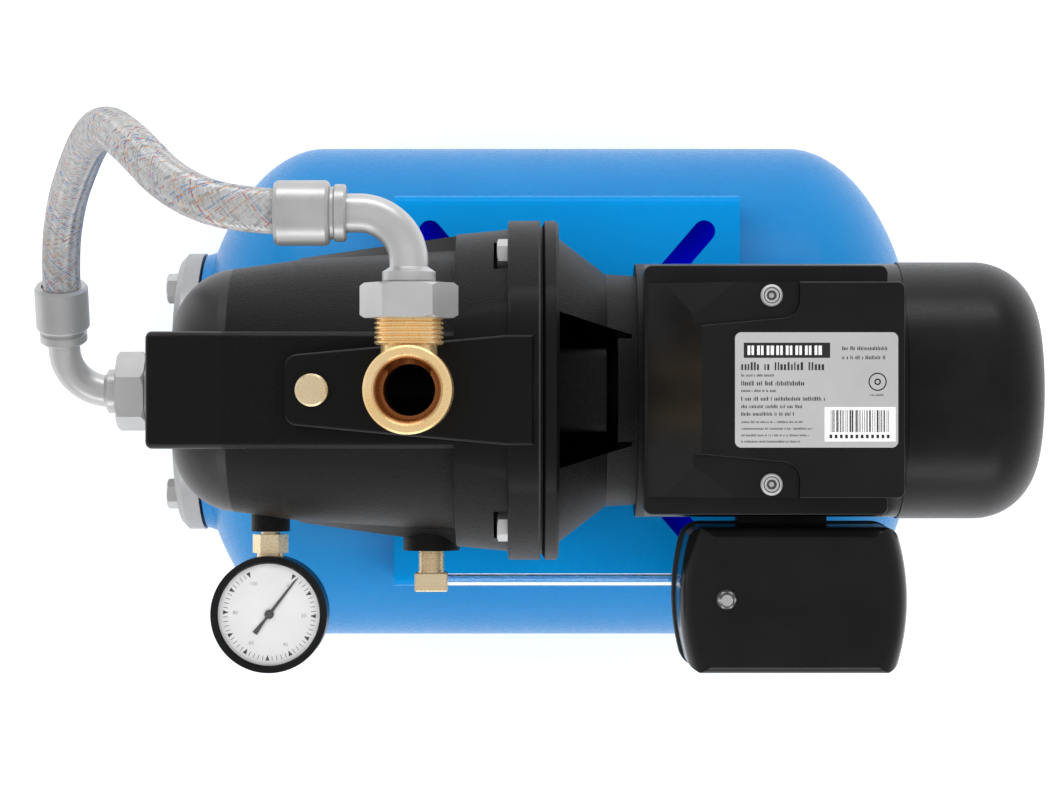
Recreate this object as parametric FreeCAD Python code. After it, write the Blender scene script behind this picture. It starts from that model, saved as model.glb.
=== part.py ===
"""Shallow well jet pump on a horizontal pressure tank.

Millimetres, +Z up, +X from the suction port towards the motor fan.
The origin is the centre of the tank feet's bolt pattern, on the floor.
Every sub-part is written to parts/NODE.step.
"""
import FreeCAD, Part
import math
import os

V = FreeCAD.Vector
X_AXIS = V(1, 0, 0)
Y_AXIS = V(0, 1, 0)
Z_AXIS = V(0, 0, 1)

# ---- driving dimensions ----------------------------------------------------
# tank
TANK_Z = 156.0            # height of the tank's axis
TANK_R = 142.5
TANK_WALL = 1.8
TANK_HALF = 135.0         # half length of the straight barrel
DOME_DEPTH = 77.0
TANK_PORT_X = -198.0      # where the left dome is opened for the flange
TANK_PORT_R = 60.0
FLANGE_R = 81.0
FLANGE_FACE_X = -218.8
FLANGE_BOLT_R = 68.5
FLANGE_BOLT_SIZE = 8.0
FOOT_X = 105.0
FOOT_HALF_WIDTH = 100.0
FOOT_HOLE_X = 125.0
FOOT_HOLE_Y = 90.0
FOOT_HOLE_R = 5.0
SHEET = 2.5               # thickness of feet and platform
# platform
PLATFORM_Z = 312.0        # top face
PLATFORM_X = (-89.3, 98.2)
PLATFORM_HALF = 106.0
SLOT_ORIGIN_X = 4.5       # the four slots radiate from this point
SLOT_ANGLE = 49.3
SLOT_WIDTH = 12.0
SLOT_REACH = (52.0, 114.0)  # middles of a slot's round ends, from the same point
MOUNT_DX = 49.0           # pump bolts, from SLOT_ORIGIN_X
MOUNT_Y = 57.0
# pump and motor axis
AXIS_Z = 404.0
CASING_WALL = 5.5
PUMP_FLANGE_R = 87.0
SNOUT_X = -205.5
SNOUT_HALF = 29.0
SNOUT_TOP = 477.0
SOCKET_R = 25.0           # suction socket set in the snout
SOCKET_END = -154.0
PAD_TOP = 492.0
OUTLET_X = -73.8
PLUG_X = -122.2
NOZZLE_SEAT_R = 18.0
PORT_R = 15.1             # 1 inch pipe thread, female
SPIGOT_R = 16.4           # 1 inch pipe thread, male
GAUGE_X = -150.0
GAUGE_Y = -115.3
SENSE_X = -66.7
PORTS_Z = 392.0           # gauge and sensing ports
CASING_BOLT_R = 79.0
BOLT_POCKET_R = 8.0
CASING_BOLT_ANGLES = (30, 150, 210, 330, 90, 270)
OPEN_BOLT_ANGLES = (30, 150)  # these two heads stand in slots that are open at the top
# motor
MOTOR_R = 65.0
MOTOR_X = (42.4, 172.0)
STACK_X = (70.0, 140.0)
ROTOR_R = 32.5
BEARING_X = (26.0, 160.0)
BEARING_WIDTH = 12.0
BEARING_OUTER_R = 20.0
BEARING_PITCH_R = 14.25
BALL_R = 3.2
SHAFT_R = 8.5
BALL_COUNT = 8
FAN_COVER_R = 65.8
FAN_COVER_END = 242.4
FAN_SCREW_ANGLES = (210, 270, 330)
# terminal box
BOX_BASE_Z = (462.0, 490.0)
BOX_COVER_TOP = 515.0
BOX_COVER_X = (41.8, 164.3)
BOX_COVER_HALF = 52.0
BOX_POCKET_Z = 511.0      # floor of the two corner pockets that hold the screws
BOX_SCREW_X = 100.4
BOX_SCREW_Y = 45.5
# fittings and hose
TEE_Z = 522.0
TEE_TOP = 548.0
TEE_R = 21.1
NUT_FLATS = 41.0
ELBOW_R = 9.33
ELBOW_BORE = 7.0
COLLAR_R = 12.9
FERRULE_R = 15.65
HOSE_R = 11.2
UPPER_HOSE_Y = 84.6
UPPER_BEND = 24.0
LOWER_ARM_X = -288.3
LOWER_BEND = 26.0
LOWER_TILT = 22.0         # the lower elbow's arm rises at this angle from +Y
HOSE_ROUTE = [
    (-110.0, 84.6, 522.0),
    (-154.0, 84.6, 522.0),
    (-189.5, 98.0, 497.0),
    (-214.0, 123.0, 459.0),
    (-234.5, 137.5, 400.0),
    (-250.5, 134.5, 340.0),
    (-265.0, 123.0, 281.0),
    (-279.5, 107.0, 223.0),
    (-288.3, 77.0, 187.11),
    (-288.3, 36.0, 170.545),
]
GEAR_MODULE = 0.45
PINION_TEETH = 12
SECTOR_TEETH = 72
GEAR_DISTANCE = GEAR_MODULE * (PINION_TEETH + SECTOR_TEETH) / 2
SECTOR_AT = 200.0         # direction from the pointer to the sector's pivot
POINTER_REST = 52.5
# pressure switch
SWITCH_X = 115.2
SWITCH_Y = -104.2
SWITCH_HALF = (56.8, 36.2)
SWITCH_BULGE = 6.0        # how far the left and right sides bow out
SWITCH_BASE_Z = (384.0, 412.0)
SWITCH_PLATE_Z = 400.0
SWITCH_TOP = 470.0
CAP_NUT_X = 81.2
CAP_NUT_Y = -103.5
SENSE_Y = -98.0           # sensing tube
SENSE_END = 63.0          # where its connector enters the switch
GLAND_Y = (-117.0, -92.0)
GLAND_BORE = 6.2
GLAND_Z = 402.0
GLAND_END = 173.5
SPRING_X = 112.0
SPRING_TOP = 30.8         # above the switch base
SPRING_TURNS = 6
SPRING_PITCH = 3.4
SPRING_R = 6.0
SPRING_WIRE_R = 1.0


# ---- small helpers ---------------------------------------------------------
def cylinder(radius, start, direction, length):
    return Part.makeCylinder(radius, length, V(*start), direction)


def ring(outer, inner, start, direction, length):
    return cylinder(outer, start, direction, length).cut(cylinder(inner, start, direction, length))


def block(x, y, z):
    return Part.makeBox(x[1] - x[0], y[1] - y[0], z[1] - z[0], V(x[0], y[0], z[0]))


def x_turned(points, z=AXIS_Z, y=0.0):
    """Revolve (x, radius) points about a line along X."""
    outline = Part.makePolygon([V(x, y, z + r) for x, r in points + points[:1]])
    return Part.Face(outline).revolve(V(0, y, z), X_AXIS, 360)


def y_turned(points, x, z):
    """Revolve (y, radius) points about a line along Y."""
    outline = Part.makePolygon([V(x + r, y, z) for y, r in points + points[:1]])
    return Part.Face(outline).revolve(V(x, 0, z), Y_AXIS, 360)


def z_turned(points, x, y):
    """Revolve (z, radius) points about a line along Z."""
    outline = Part.makePolygon([V(x + r, y, z) for z, r in points + points[:1]])
    return Part.Face(outline).revolve(V(x, y, 0), Z_AXIS, 360)


def prism(points, z0, z1):
    outline = Part.makePolygon([V(x, y, z0) for x, y in points + points[:1]])
    return Part.Face(outline).extrude(V(0, 0, z1 - z0))


def hexagon(flats, start, direction, length, turn=0.0):
    """A hexagonal bar; turn 0 puts a corner on the first cross axis."""
    corner = flats / math.sqrt(3)
    points = [V(corner * math.cos(math.radians(turn + 60 * i)),
                corner * math.sin(math.radians(turn + 60 * i)), 0) for i in range(7)]
    bar = Part.Face(Part.makePolygon(points)).extrude(V(0, 0, length))
    bar.Placement = FreeCAD.Placement(V(*start), FreeCAD.Rotation(Z_AXIS, direction))
    return bar


def fused(shapes):
    whole = shapes[0].multiFuse(shapes[1:]) if len(shapes) > 1 else shapes[0]
    return whole.removeSplitter()


def rounded(shape, radius, chosen):
    """Fillet the edges that the test function picks."""
    return shape.makeFillet(radius, [e for e in shape.Edges if chosen(e)])


def turned_about_axis(shape, degrees):
    copy = shape.copy()
    copy.rotate(V(0, 0, AXIS_Z), X_AXIS, degrees)
    return copy


def around(radius, degrees, z=AXIS_Z):
    """A point (y, z) on a circle about an X line."""
    return radius * math.cos(math.radians(degrees)), z + radius * math.sin(math.radians(degrees))


# ---- tank ------------------------------------------------------------------
def dome_outline(side, grow, reach):
    """Part of an ellipse from the barrel's end outwards; reach is the curve's last parameter."""
    centre = V(side * TANK_HALF, 0, TANK_Z)
    top = centre + V(0, 0, TANK_R + grow)
    apex = centre + V(side * (DOME_DEPTH + grow), 0, 0)
    return Part.ArcOfEllipse(Part.Ellipse(top, apex, centre), 0, reach).toShape()


def tank_wall(grows, cuts, neck):
    """Closed wall between two tank shapes; both stop at a cut on the left and the neck joins them there."""
    edges = []
    ends = []
    for grow, cut_x in zip(grows, cuts):
        reach = math.asin((-cut_x - TANK_HALF) / (DOME_DEPTH + grow))
        height = TANK_Z + TANK_R + grow
        barrel = Part.LineSegment(V(-TANK_HALF, 0, height), V(TANK_HALF, 0, height)).toShape()
        edges += [dome_outline(-1, grow, reach), barrel, dome_outline(1, grow, math.pi / 2)]
        ends.append(V(cut_x, 0, TANK_Z + (TANK_R + grow) * math.cos(reach)))
    apexes = [V(TANK_HALF + DOME_DEPTH + grow, 0, TANK_Z) for grow in grows]
    corners = [ends[0]] + [V(x, 0, TANK_Z + r) for x, r in neck] + [ends[1]]
    edges += [Part.LineSegment(a, b).toShape() for a, b in zip(corners, corners[1:])]
    edges.append(Part.LineSegment(*apexes).toShape())
    wire = Part.Wire(Part.__sortEdges__(edges))
    return Part.Face(wire).revolve(V(0, 0, TANK_Z), X_AXIS, 360)


def tank_shell():
    """Welded steel shell with the ring that the flange bolts into."""
    neck = [(-204.2, 80), (-204.2, TANK_PORT_R), (-194, TANK_PORT_R), (-194, 76)]
    shell = tank_wall((0, -TANK_WALL), (TANK_PORT_X, -195), neck)
    shell = shell.cut(cylinder(4.0, (205, 0, TANK_Z), X_AXIS, 12))
    for y, z in flange_bolt_places():
        shell = shell.cut(cylinder(FLANGE_BOLT_SIZE / 2, (-215, y, z), X_AXIS, 21.5))
    return shell


def tank_bladder():
    """Rubber bag whose lip is clamped under the flange, with a moulding button at its end."""
    neck = [(-189.5, 50), (-204.2, 47), (-204.2, 64), (-205.7, 64), (-205.7, 44), (-186.5, 46)]
    button = cylinder(6, (199.4, 0, TANK_Z), X_AXIS, 4.1)
    return fused([tank_wall((-9, -12), (-188, -185), neck), button])


def tank_flange():
    """Pressed steel cover with a threaded port, clamped on the bladder's lip."""
    plate = x_turned([(-205.7, FLANGE_R), (-205.7, 75), (-212, 74), (-212, 66), (-205.7, 66), (-205.7, 45),
                      (-212, 45), (-214, 12.5), (-250, 12.5), (-250, 16.5), (-241, 16.5), (-241, 18),
                      (-228, 18), (-226, 20), (FLANGE_FACE_X, 28), (FLANGE_FACE_X, 77),
                      (-215, FLANGE_R)], TANK_Z)
    for y, z in flange_bolt_places():
        plate = plate.cut(cylinder(FLANGE_BOLT_SIZE / 2, (-230, y, z), X_AXIS, 30))
    return plate


def flange_bolt_places():
    return [around(FLANGE_BOLT_R, 30 + 60 * i, TANK_Z) for i in range(6)]


def hex_bolt(head_start, direction, shank_length, size=8.0, head=5.3, flats=13.0):
    """Head from head_start outwards with its corners turned off, shank the other way."""
    top_r = 0.475 * flats
    chamfer = Part.makeCone(top_r + math.sqrt(3) * head, top_r, head, V(*head_start), direction)
    bolt_head = hexagon(flats, head_start, direction, head, 30).common(chamfer)
    shank = Part.makeCylinder(size / 2, shank_length, V(*head_start), direction.negative())
    return fused([bolt_head, shank])


def tank_air_valve():
    apex = TANK_HALF + DOME_DEPTH
    return x_turned([(206, 1.6), (206, 4.0), (apex, 4.0), (apex, 9), (apex + 2, 9), (apex + 3, 5),
                     (apex + 14, 4.2), (apex + 14, 1.6)], TANK_Z)


def air_valve_cap():
    apex = TANK_HALF + DOME_DEPTH
    return x_turned([(apex + 5, 5.1), (apex + 5, 7), (apex + 17, 6.4), (apex + 18, 5.4), (apex + 18, 0),
                     (apex + 15, 0), (apex + 15, 5.1)], TANK_Z)


def tank_feet():
    feet = []
    for side in (-1, 1):
        web = block((-SHEET / 2, SHEET / 2), (-FOOT_HALF_WIDTH, FOOT_HALF_WIDTH), (0, 70))
        base = block((0, 40), (-FOOT_HALF_WIDTH, FOOT_HALF_WIDTH), (0, SHEET))
        lips = [block((0, 24), (s * FOOT_HALF_WIDTH - SHEET / 2, s * FOOT_HALF_WIDTH + SHEET / 2), (0, 62))
                for s in (-1, 1)]
        foot = fused([web, base] + lips)
        for y in (-FOOT_HOLE_Y, FOOT_HOLE_Y):
            foot = foot.cut(cylinder(FOOT_HOLE_R, (FOOT_HOLE_X - FOOT_X, y, -1), Z_AXIS, 5))
        if side < 0:
            foot = foot.mirror(V(0, 0, 0), X_AXIS)
        foot.translate(V(side * FOOT_X, 0, 0))
        foot = foot.cut(cylinder(TANK_R, (-TANK_HALF, 0, TANK_Z), X_AXIS, 2 * TANK_HALF))
        feet.append(foot)
    return Part.makeCompound([solid for foot in feet for solid in foot.Solids])


def pump_platform():
    """Bent sheet on the tank: a flat top with two side flanges and four slots."""
    outer = block(PLATFORM_X, (-PLATFORM_HALF, PLATFORM_HALF), (240, PLATFORM_Z))
    outer = rounded(outer, 6.0, lambda e: e.BoundBox.ZMin > PLATFORM_Z - 1 and e.BoundBox.XLength > 50)
    wide = (PLATFORM_X[0] - 1, PLATFORM_X[1] + 1)
    inner = block(wide, (-PLATFORM_HALF + SHEET, PLATFORM_HALF - SHEET), (239, PLATFORM_Z - SHEET))
    inner = rounded(inner, 3.5, lambda e: e.BoundBox.ZMin > PLATFORM_Z - SHEET - 1 and e.BoundBox.XLength > 50)
    sheet = outer.cut(inner)
    for i in range(4):
        angle = SLOT_ANGLE if i % 2 == 0 else 180 - SLOT_ANGLE
        slot = block(SLOT_REACH, (-SLOT_WIDTH / 2, SLOT_WIDTH / 2), (PLATFORM_Z - 5, PLATFORM_Z + 5))
        for reach in SLOT_REACH:
            slot = slot.fuse(cylinder(SLOT_WIDTH / 2, (reach, 0, PLATFORM_Z - 5), Z_AXIS, 10))
        slot.rotate(V(0, 0, 0), Z_AXIS, angle if i < 2 else -angle)
        slot.translate(V(SLOT_ORIGIN_X, 0, 0))
        sheet = sheet.cut(slot)
    return sheet.cut(cylinder(TANK_R, (-TANK_HALF, 0, TANK_Z), X_AXIS, 2 * TANK_HALF)).Solids[0]


def mounting_bolts():
    bolts = []
    for x in (SLOT_ORIGIN_X - MOUNT_DX, SLOT_ORIGIN_X + MOUNT_DX):
        top = PLATFORM_Z + (12 if x < 0 else 3)
        for y in (-MOUNT_Y, MOUNT_Y):
            bolt = hex_bolt((x, y, top), Z_AXIS, top - PLATFORM_Z + 12)
            nut = hexagon(13, (x, y, PLATFORM_Z - SHEET - 6.5), Z_AXIS, 6.5, 30)
            washer = cylinder(9.5, (x, y, PLATFORM_Z - SHEET - 1.6), Z_AXIS, 1.6)
            bolts.append(fused([bolt, nut, washer]))
    return Part.makeCompound(bolts)


# ---- pump end --------------------------------------------------------------
def side_rib(side):
    """Ledge along the casing's side; its top slopes down and outwards."""
    ends = []
    for x, root, tip in ((-134, 66.5, 68), (-53.3, 71, 79.5)):
        points = [V(x, side * 55, AXIS_Z + 7), V(x, side * root, AXIS_Z + 7), V(x, side * tip, AXIS_Z - 3),
                  V(x, side * tip, AXIS_Z - 9), V(x, side * 55, AXIS_Z - 9)]
        ends.append(Part.makePolygon(points + points[:1]))
    return Part.makeLoft(ends, True, True)


def casing_outer():
    """Body of revolution, snout, pad, ribs, bosses and foot, all solid."""
    edges = [Part.LineSegment(V(-11.6, 0, AXIS_Z), V(-11.6, 0, AXIS_Z + 84)).toShape(),
             Part.LineSegment(V(-11.6, 0, AXIS_Z + 84), V(-53.3, 0, AXIS_Z + 80)).toShape(),
             Part.LineSegment(V(-53.3, 0, AXIS_Z + 80), V(-53.3, 0, AXIS_Z + 72)).toShape(),
             Part.LineSegment(V(-53.3, 0, AXIS_Z + 72), V(-134, 0, AXIS_Z + 67)).toShape(),
             Part.LineSegment(V(-134, 0, AXIS_Z + 67), V(-172, 0, AXIS_Z + 61.7)).toShape(),
             Part.Arc(V(-172, 0, AXIS_Z + 61.7), V(-190, 0, AXIS_Z + 51), V(-198, 0, AXIS_Z + 34)).toShape(),
             Part.LineSegment(V(-198, 0, AXIS_Z + 34), V(-198, 0, AXIS_Z)).toShape(),
             Part.LineSegment(V(-198, 0, AXIS_Z), V(-11.6, 0, AXIS_Z)).toShape()]
    body = Part.Face(Part.Wire(edges)).revolve(V(0, 0, AXIS_Z), X_AXIS, 360)
    flange = cylinder(PUMP_FLANGE_R, (-27, 0, AXIS_Z), X_AXIS, 15.4)
    flange = rounded(flange, 1.5, lambda e: abs(e.BoundBox.XMin + 27) < 0.1 and e.BoundBox.XLength < 0.1)
    snout = block((SNOUT_X, -20), (-SNOUT_HALF, SNOUT_HALF), (AXIS_Z, SNOUT_TOP))
    snout = snout.fuse(cylinder(SNOUT_HALF, (SNOUT_X, 0, AXIS_Z), X_AXIS, 60)).removeSplitter()
    snout = rounded(snout, 4.5, lambda e: e.BoundBox.ZMin > SNOUT_TOP - 1 and e.BoundBox.XLength > 20)
    snout = rounded(snout, 3.0, lambda e: e.BoundBox.XMax < SNOUT_X + 0.1)
    pad = prism([(-136, -17), (-27, -27), (-14, -27), (-14, 27), (-27, 27), (-136, 17)],
                SNOUT_TOP - 6, PAD_TOP)
    pad = rounded(pad, 7.0, lambda e: e.BoundBox.ZLength > 10 and e.BoundBox.XMax < -130)
    pad = rounded(pad, 2.0, lambda e: e.BoundBox.ZMin > PAD_TOP - 1)
    ribs = [side_rib(side) for side in (-1, 1)]
    bosses = [cylinder(10, (GAUGE_X, -40, PORTS_Z), Y_AXIS.negative(), 32.8),
              cylinder(14.6, (SENSE_X, -40, PORTS_Z), Y_AXIS.negative(), 42.6)]
    foot = block((-58, -31), (-70, 70), (PLATFORM_Z, PLATFORM_Z + 12))
    legs = block((-56, -33), (-40, 40), (PLATFORM_Z, PLATFORM_Z + 30))
    drain = cylinder(11, (-150, 0, AXIS_Z - 40), Z_AXIS.negative(), 31)
    return fused([body, flange, snout, pad, foot, legs, drain] + ribs + bosses)


def casing_cavity():
    """Water space: chamber, snout duct and the open rear end."""
    edges = [Part.LineSegment(V(0, 0, AXIS_Z), V(0, 0, AXIS_Z + 70)).toShape(),
             Part.LineSegment(V(0, 0, AXIS_Z + 70), V(-48, 0, AXIS_Z + 68)).toShape(),
             Part.LineSegment(V(-48, 0, AXIS_Z + 68), V(-134, 0, AXIS_Z + 61.5)).toShape(),
             Part.LineSegment(V(-134, 0, AXIS_Z + 61.5), V(-170, 0, AXIS_Z + 55.5)).toShape(),
             Part.Arc(V(-170, 0, AXIS_Z + 55.5), V(-186, 0, AXIS_Z + 46), V(-192, 0, AXIS_Z + 32)).toShape(),
             Part.LineSegment(V(-192, 0, AXIS_Z + 32), V(-192, 0, AXIS_Z)).toShape(),
             Part.LineSegment(V(-192, 0, AXIS_Z), V(0, 0, AXIS_Z)).toShape()]
    chamber = Part.Face(Part.Wire(edges)).revolve(V(0, 0, AXIS_Z), X_AXIS, 360)
    duct = block((-150, -32), (-SNOUT_HALF + CASING_WALL, SNOUT_HALF - CASING_WALL),
                 (AXIS_Z + 40, SNOUT_TOP - CASING_WALL))
    return chamber.fuse(duct).removeSplitter()


def suction_socket():
    """Threaded socket in the snout that also seats the nozzle and the venturi."""
    socket = cylinder(SOCKET_R, (SNOUT_X, 0, AXIS_Z), X_AXIS, SOCKET_END - SNOUT_X)
    socket = socket.cut(cylinder(PORT_R, (SNOUT_X - 1, 0, AXIS_Z), X_AXIS, 60))
    socket = socket.cut(cylinder(NOZZLE_SEAT_R, (-184, 0, AXIS_Z), X_AXIS, 40))
    return socket.cut(cylinder(2.5, (-162, 0, AXIS_Z), Z_AXIS.negative(), 30))


def pump_casing():
    casing = casing_outer().cut(casing_cavity())
    casing = casing.cut(cylinder(SOCKET_R, (SNOUT_X - 1, 0, AXIS_Z), X_AXIS, 30))
    casing = casing.cut(cylinder(SPIGOT_R, (OUTLET_X, 0, SNOUT_TOP - 8), Z_AXIS, 30))
    casing = casing.cut(cylinder(6.55, (PLUG_X, 0, SNOUT_TOP - 8), Z_AXIS, 30))
    casing = casing.cut(cylinder(4.8, (GAUGE_X, -40, PORTS_Z), Y_AXIS.negative(), 60))
    casing = casing.cut(cylinder(6.75, (SENSE_X, -50, PORTS_Z), Y_AXIS.negative(), 60))
    casing = casing.cut(cylinder(6.0, (-150, 0, AXIS_Z - 80), Z_AXIS, 40))
    for angle in CASING_BOLT_ANGLES:
        y, z = around(CASING_BOLT_R, angle)
        casing = casing.cut(cylinder(4.0, (-30, y, z), X_AXIS, 30))
        casing = casing.cut(cylinder(BOLT_POCKET_R, (-34, y, z), X_AXIS, 7))
        if angle in OPEN_BOLT_ANGLES:
            slot = block((-34, -27), (y - BOLT_POCKET_R, y + BOLT_POCKET_R), (z, z + 40))
            casing = casing.cut(slot)
    for y in (-MOUNT_Y, MOUNT_Y):
        x = SLOT_ORIGIN_X - MOUNT_DX
        casing = casing.cut(cylinder(4.0, (x, y, PLATFORM_Z - 1), Z_AXIS, 20))
    return casing


def drain_plug():
    top = AXIS_Z - 71
    plug = cylinder(6.0, (-150, 0, top), Z_AXIS, 10)
    return fused([plug, hexagon(12, (-150, 0, top - 5), Z_AXIS, 5)])


def flange_bolts():
    """Six bolts of the pump casing, then six of the tank's flange."""
    bolts = []
    for angle in CASING_BOLT_ANGLES:
        y, z = around(CASING_BOLT_R, angle)
        bolts.append(hex_bolt((-27, y, z), X_AXIS.negative(), 24))
    for y, z in flange_bolt_places():
        bolts.append(hex_bolt((FLANGE_FACE_X, y, z), X_AXIS.negative(), 24, FLANGE_BOLT_SIZE, 6.3, 15.0))
    return Part.makeCompound(bolts)


def casing_gasket():
    gasket = ring(PUMP_FLANGE_R, 70, (-11.6, 0, AXIS_Z), X_AXIS, 1.0)
    for angle in CASING_BOLT_ANGLES:
        y, z = around(CASING_BOLT_R, angle)
        gasket = gasket.cut(cylinder(4.0, (-13, y, z), X_AXIS, 5))
    return gasket


def jet_nozzle():
    """A tapered nozzle on three arms, with a feed hole through one of them."""
    outer_ring = ring(NOZZLE_SEAT_R, 15, (-166, 0, AXIS_Z), X_AXIS, 8)
    nozzle = x_turned([(-168, 0), (-168, 7), (-158, 7), (-142, 4.2), (-142, 2.9), (-158, 3.5), (-164, 3.5),
                       (-164, 0)])
    arm = block((-165, -159), (-3.5, 3.5), (AXIS_Z - 16, AXIS_Z - 5))
    arms = [turned_about_axis(arm, 120 * i) for i in range(3)]
    body = fused([outer_ring, nozzle] + arms)
    return body.cut(cylinder(1.8, (-162, 0, AXIS_Z), Z_AXIS.negative(), 20))


def venturi_tube():
    """Mixing throat and diverging cone from the nozzle to the impeller's eye."""
    return x_turned([(-154, 24.9), (-154, 15.5), (-146, 9), (-138, 6.5), (-126, 6.5), (-60, 13.5), (-60, 16.5),
                     (-122, 10.5), (-140, 10.5), (-148, 24.9)])


def diffuser():
    """Front wall with the impeller's eye and a ring of guide vanes."""
    wall = x_turned([(-62, 16.5), (-62, 22), (-56, 26), (-56, 66), (-52.5, 66), (-52.5, 19.4), (-59.5, 19.4),
                     (-59.5, 16.5)])
    vanes = []
    for i in range(9):
        vane = block((-52.5, -30), (-1.5, 1.5), (AXIS_Z + 57, AXIS_Z + 67))
        vane.rotate(V(0, 0, AXIS_Z + 62), X_AXIS, 55)
        vanes.append(turned_about_axis(vane, 40 * i))
    hoop = ring(67, 65, (-56, 0, AXIS_Z), X_AXIS, 26)
    return fused([wall, hoop] + vanes)


def impeller():
    """Closed impeller: two shrouds, a neck at the eye, curved vanes and a hub."""
    front = x_turned([(-58.5, 15.8), (-58.5, 19), (-51, 19), (-47.5, 55), (-45.5, 55), (-49, 15.8)])
    back = x_turned([(-35.5, 7), (-35.5, 55), (-38, 55), (-39, 12), (-50, 10), (-50, 7)])
    vanes = []
    for i in range(6):
        inner, outer, thick = 18, 54, 2.2
        points = []
        for radius, lead in ((inner, 0), (30, 22), (42, 44), (outer, 62)):
            points.append((radius, lead))
        for radius, lead in reversed(((inner, 9), (30, 27), (42, 47.5), (outer, 64.5))):
            points.append((radius, lead))
        path = [V(-48.5, *around(r, a + 60 * i)) for r, a in points]
        vanes.append(Part.Face(Part.makePolygon(path + path[:1])).extrude(V(12, 0, 0)))
    trim = x_turned([(-60, 0), (-60, 19), (-51, 19), (-47.5, 55), (-35.5, 55), (-35.5, 0)])
    vanes = [vane.common(trim) for vane in vanes]
    return fused([front, back] + vanes)


def seal_head():
    return x_turned([(-35.5, 8), (-35.5, 12), (-27, 15), (-18.05, 15), (-18.05, 11), (-20, 8)])


def seal_seat():
    return ring(15, 9.5, (-18, 0, AXIS_Z), X_AXIS, 8)


def motor_bracket():
    """Rear pump wall, lantern cone, inner hub and front bearing housing in one casting."""
    plate = x_turned([(-10.6, 15), (-10.6, PUMP_FLANGE_R - 3), (-9.6, PUMP_FLANGE_R - 3), (-8.1, PUMP_FLANGE_R),
                      (-2.8, PUMP_FLANGE_R), (-1.3, PUMP_FLANGE_R - 1.5), (-1.3, 12), (-10, 12), (-10, 15)])
    seat_cup = x_turned([(-18, 15), (-18, 20), (-10, 24), (-1.3, 24), (-1.3, 15)])
    cone = x_turned([(-1.3, 78), (-1.3, 70), (22.8, 54.6), (42.4, 54), (42.4, 58.5), (22.8, 59.6)])
    window = prism([(-1.3, 38.9), (35, 27.7), (35, 25.8), (28, 25.8), (28, -25.8), (35, -25.8), (35, -27.7),
                    (-1.3, -38.9)], AXIS_Z + 28, AXIS_Z + 80)
    drain_slot = block((2, 18), (-8, 8), (AXIS_Z - 80, AXIS_Z - 50))
    cone = cone.cut(window).cut(drain_slot)
    hub = ring(20.5, 12, (-1.3, 0, AXIS_Z), X_AXIS, BEARING_X[0] + 1.3)
    boss = block((-1.3, 22.3), (-21, 21), (AXIS_Z + 15, AXIS_Z + 54))
    boss = rounded(boss, 5.0, lambda e: e.BoundBox.ZMin > AXIS_Z + 53 and e.BoundBox.XLength > 10)
    end_wall = x_turned([(38, 11.5), (38, 60.9), (42.4, 60.9), (48, 60.9), (48, 57), (42.4, 56), (42.4, 11.5)])
    housing = ring(25, BEARING_OUTER_R, (BEARING_X[0], 0, AXIS_Z), X_AXIS, BEARING_WIDTH)
    web = block((28, 40), (-2.5, 2.5), (AXIS_Z + 24, AXIS_Z + 56.5))
    webs = [turned_about_axis(web, 90 * i + 45) for i in range(4)]
    pads = x_turned([(42.4, 58.5), (38, 58.5), (38, 65), (42.4, 65)])
    bracket = fused([plate, seat_cup, cone, hub, boss, end_wall, housing, pads] + webs)
    for angle in CASING_BOLT_ANGLES:
        y, z = around(CASING_BOLT_R, angle)
        bracket = bracket.cut(cylinder(4.0, (-12, y, z), X_AXIS, 9))
    return bracket


# ---- motor -----------------------------------------------------------------
def motor_shell():
    return ring(MOTOR_R, 60.9, (MOTOR_X[0], 0, AXIS_Z), X_AXIS, MOTOR_X[1] - MOTOR_X[0])


def slot_bars(radius, x0, x1):
    bars = []
    for i in range(12):
        y, z = around(45, 30 * i)
        bars.append(cylinder(radius, (x0, y, z), X_AXIS, x1 - x0))
    return bars


def stator_core():
    core = ring(60.9, ROTOR_R + 0.5, (STACK_X[0], 0, AXIS_Z), X_AXIS, STACK_X[1] - STACK_X[0])
    bars = slot_bars(6.0, STACK_X[0] - 1, STACK_X[1] + 1)
    return core.cut(bars[0].multiFuse(bars[1:]))


def stator_winding():
    coils = [ring(55, 37, (STACK_X[0] - 14, 0, AXIS_Z), X_AXIS, 14),
             ring(55, 37, (STACK_X[1], 0, AXIS_Z), X_AXIS, 14)]
    coils = [rounded(c, 4.0, lambda e: e.Length > 100) for c in coils]
    return fused(coils + slot_bars(6.0, STACK_X[0] - 5, STACK_X[1] + 5))


def rotor_shaft():
    pump_end = [(-56, 0), (-56, 5), (-54, 7), (-35.5, 7), (-35.5, 8), (20, 8), (20, SHAFT_R), (40, SHAFT_R)]
    fan_end = [(40, 10), (158, 10), (158, SHAFT_R), (174, SHAFT_R), (174, 7), (204, 7), (205, 6), (205, 0)]
    return x_turned(pump_end + fan_end)


def rotor_core():
    stack = ring(ROTOR_R, 10, (STACK_X[0], 0, AXIS_Z), X_AXIS, STACK_X[1] - STACK_X[0])
    rings = [ring(31, 17, (x, 0, AXIS_Z), X_AXIS, 6) for x in (STACK_X[0] - 6, STACK_X[1])]
    return fused([stack] + rings)


def bearing_inner_rings():
    return Part.makeCompound([ring(11.0, SHAFT_R, (x, 0, AXIS_Z), X_AXIS, BEARING_WIDTH) for x in BEARING_X])


def bearing_outer_rings():
    return Part.makeCompound([ring(BEARING_OUTER_R, 17.5, (x, 0, AXIS_Z), X_AXIS, BEARING_WIDTH)
                              for x in BEARING_X])


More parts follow.
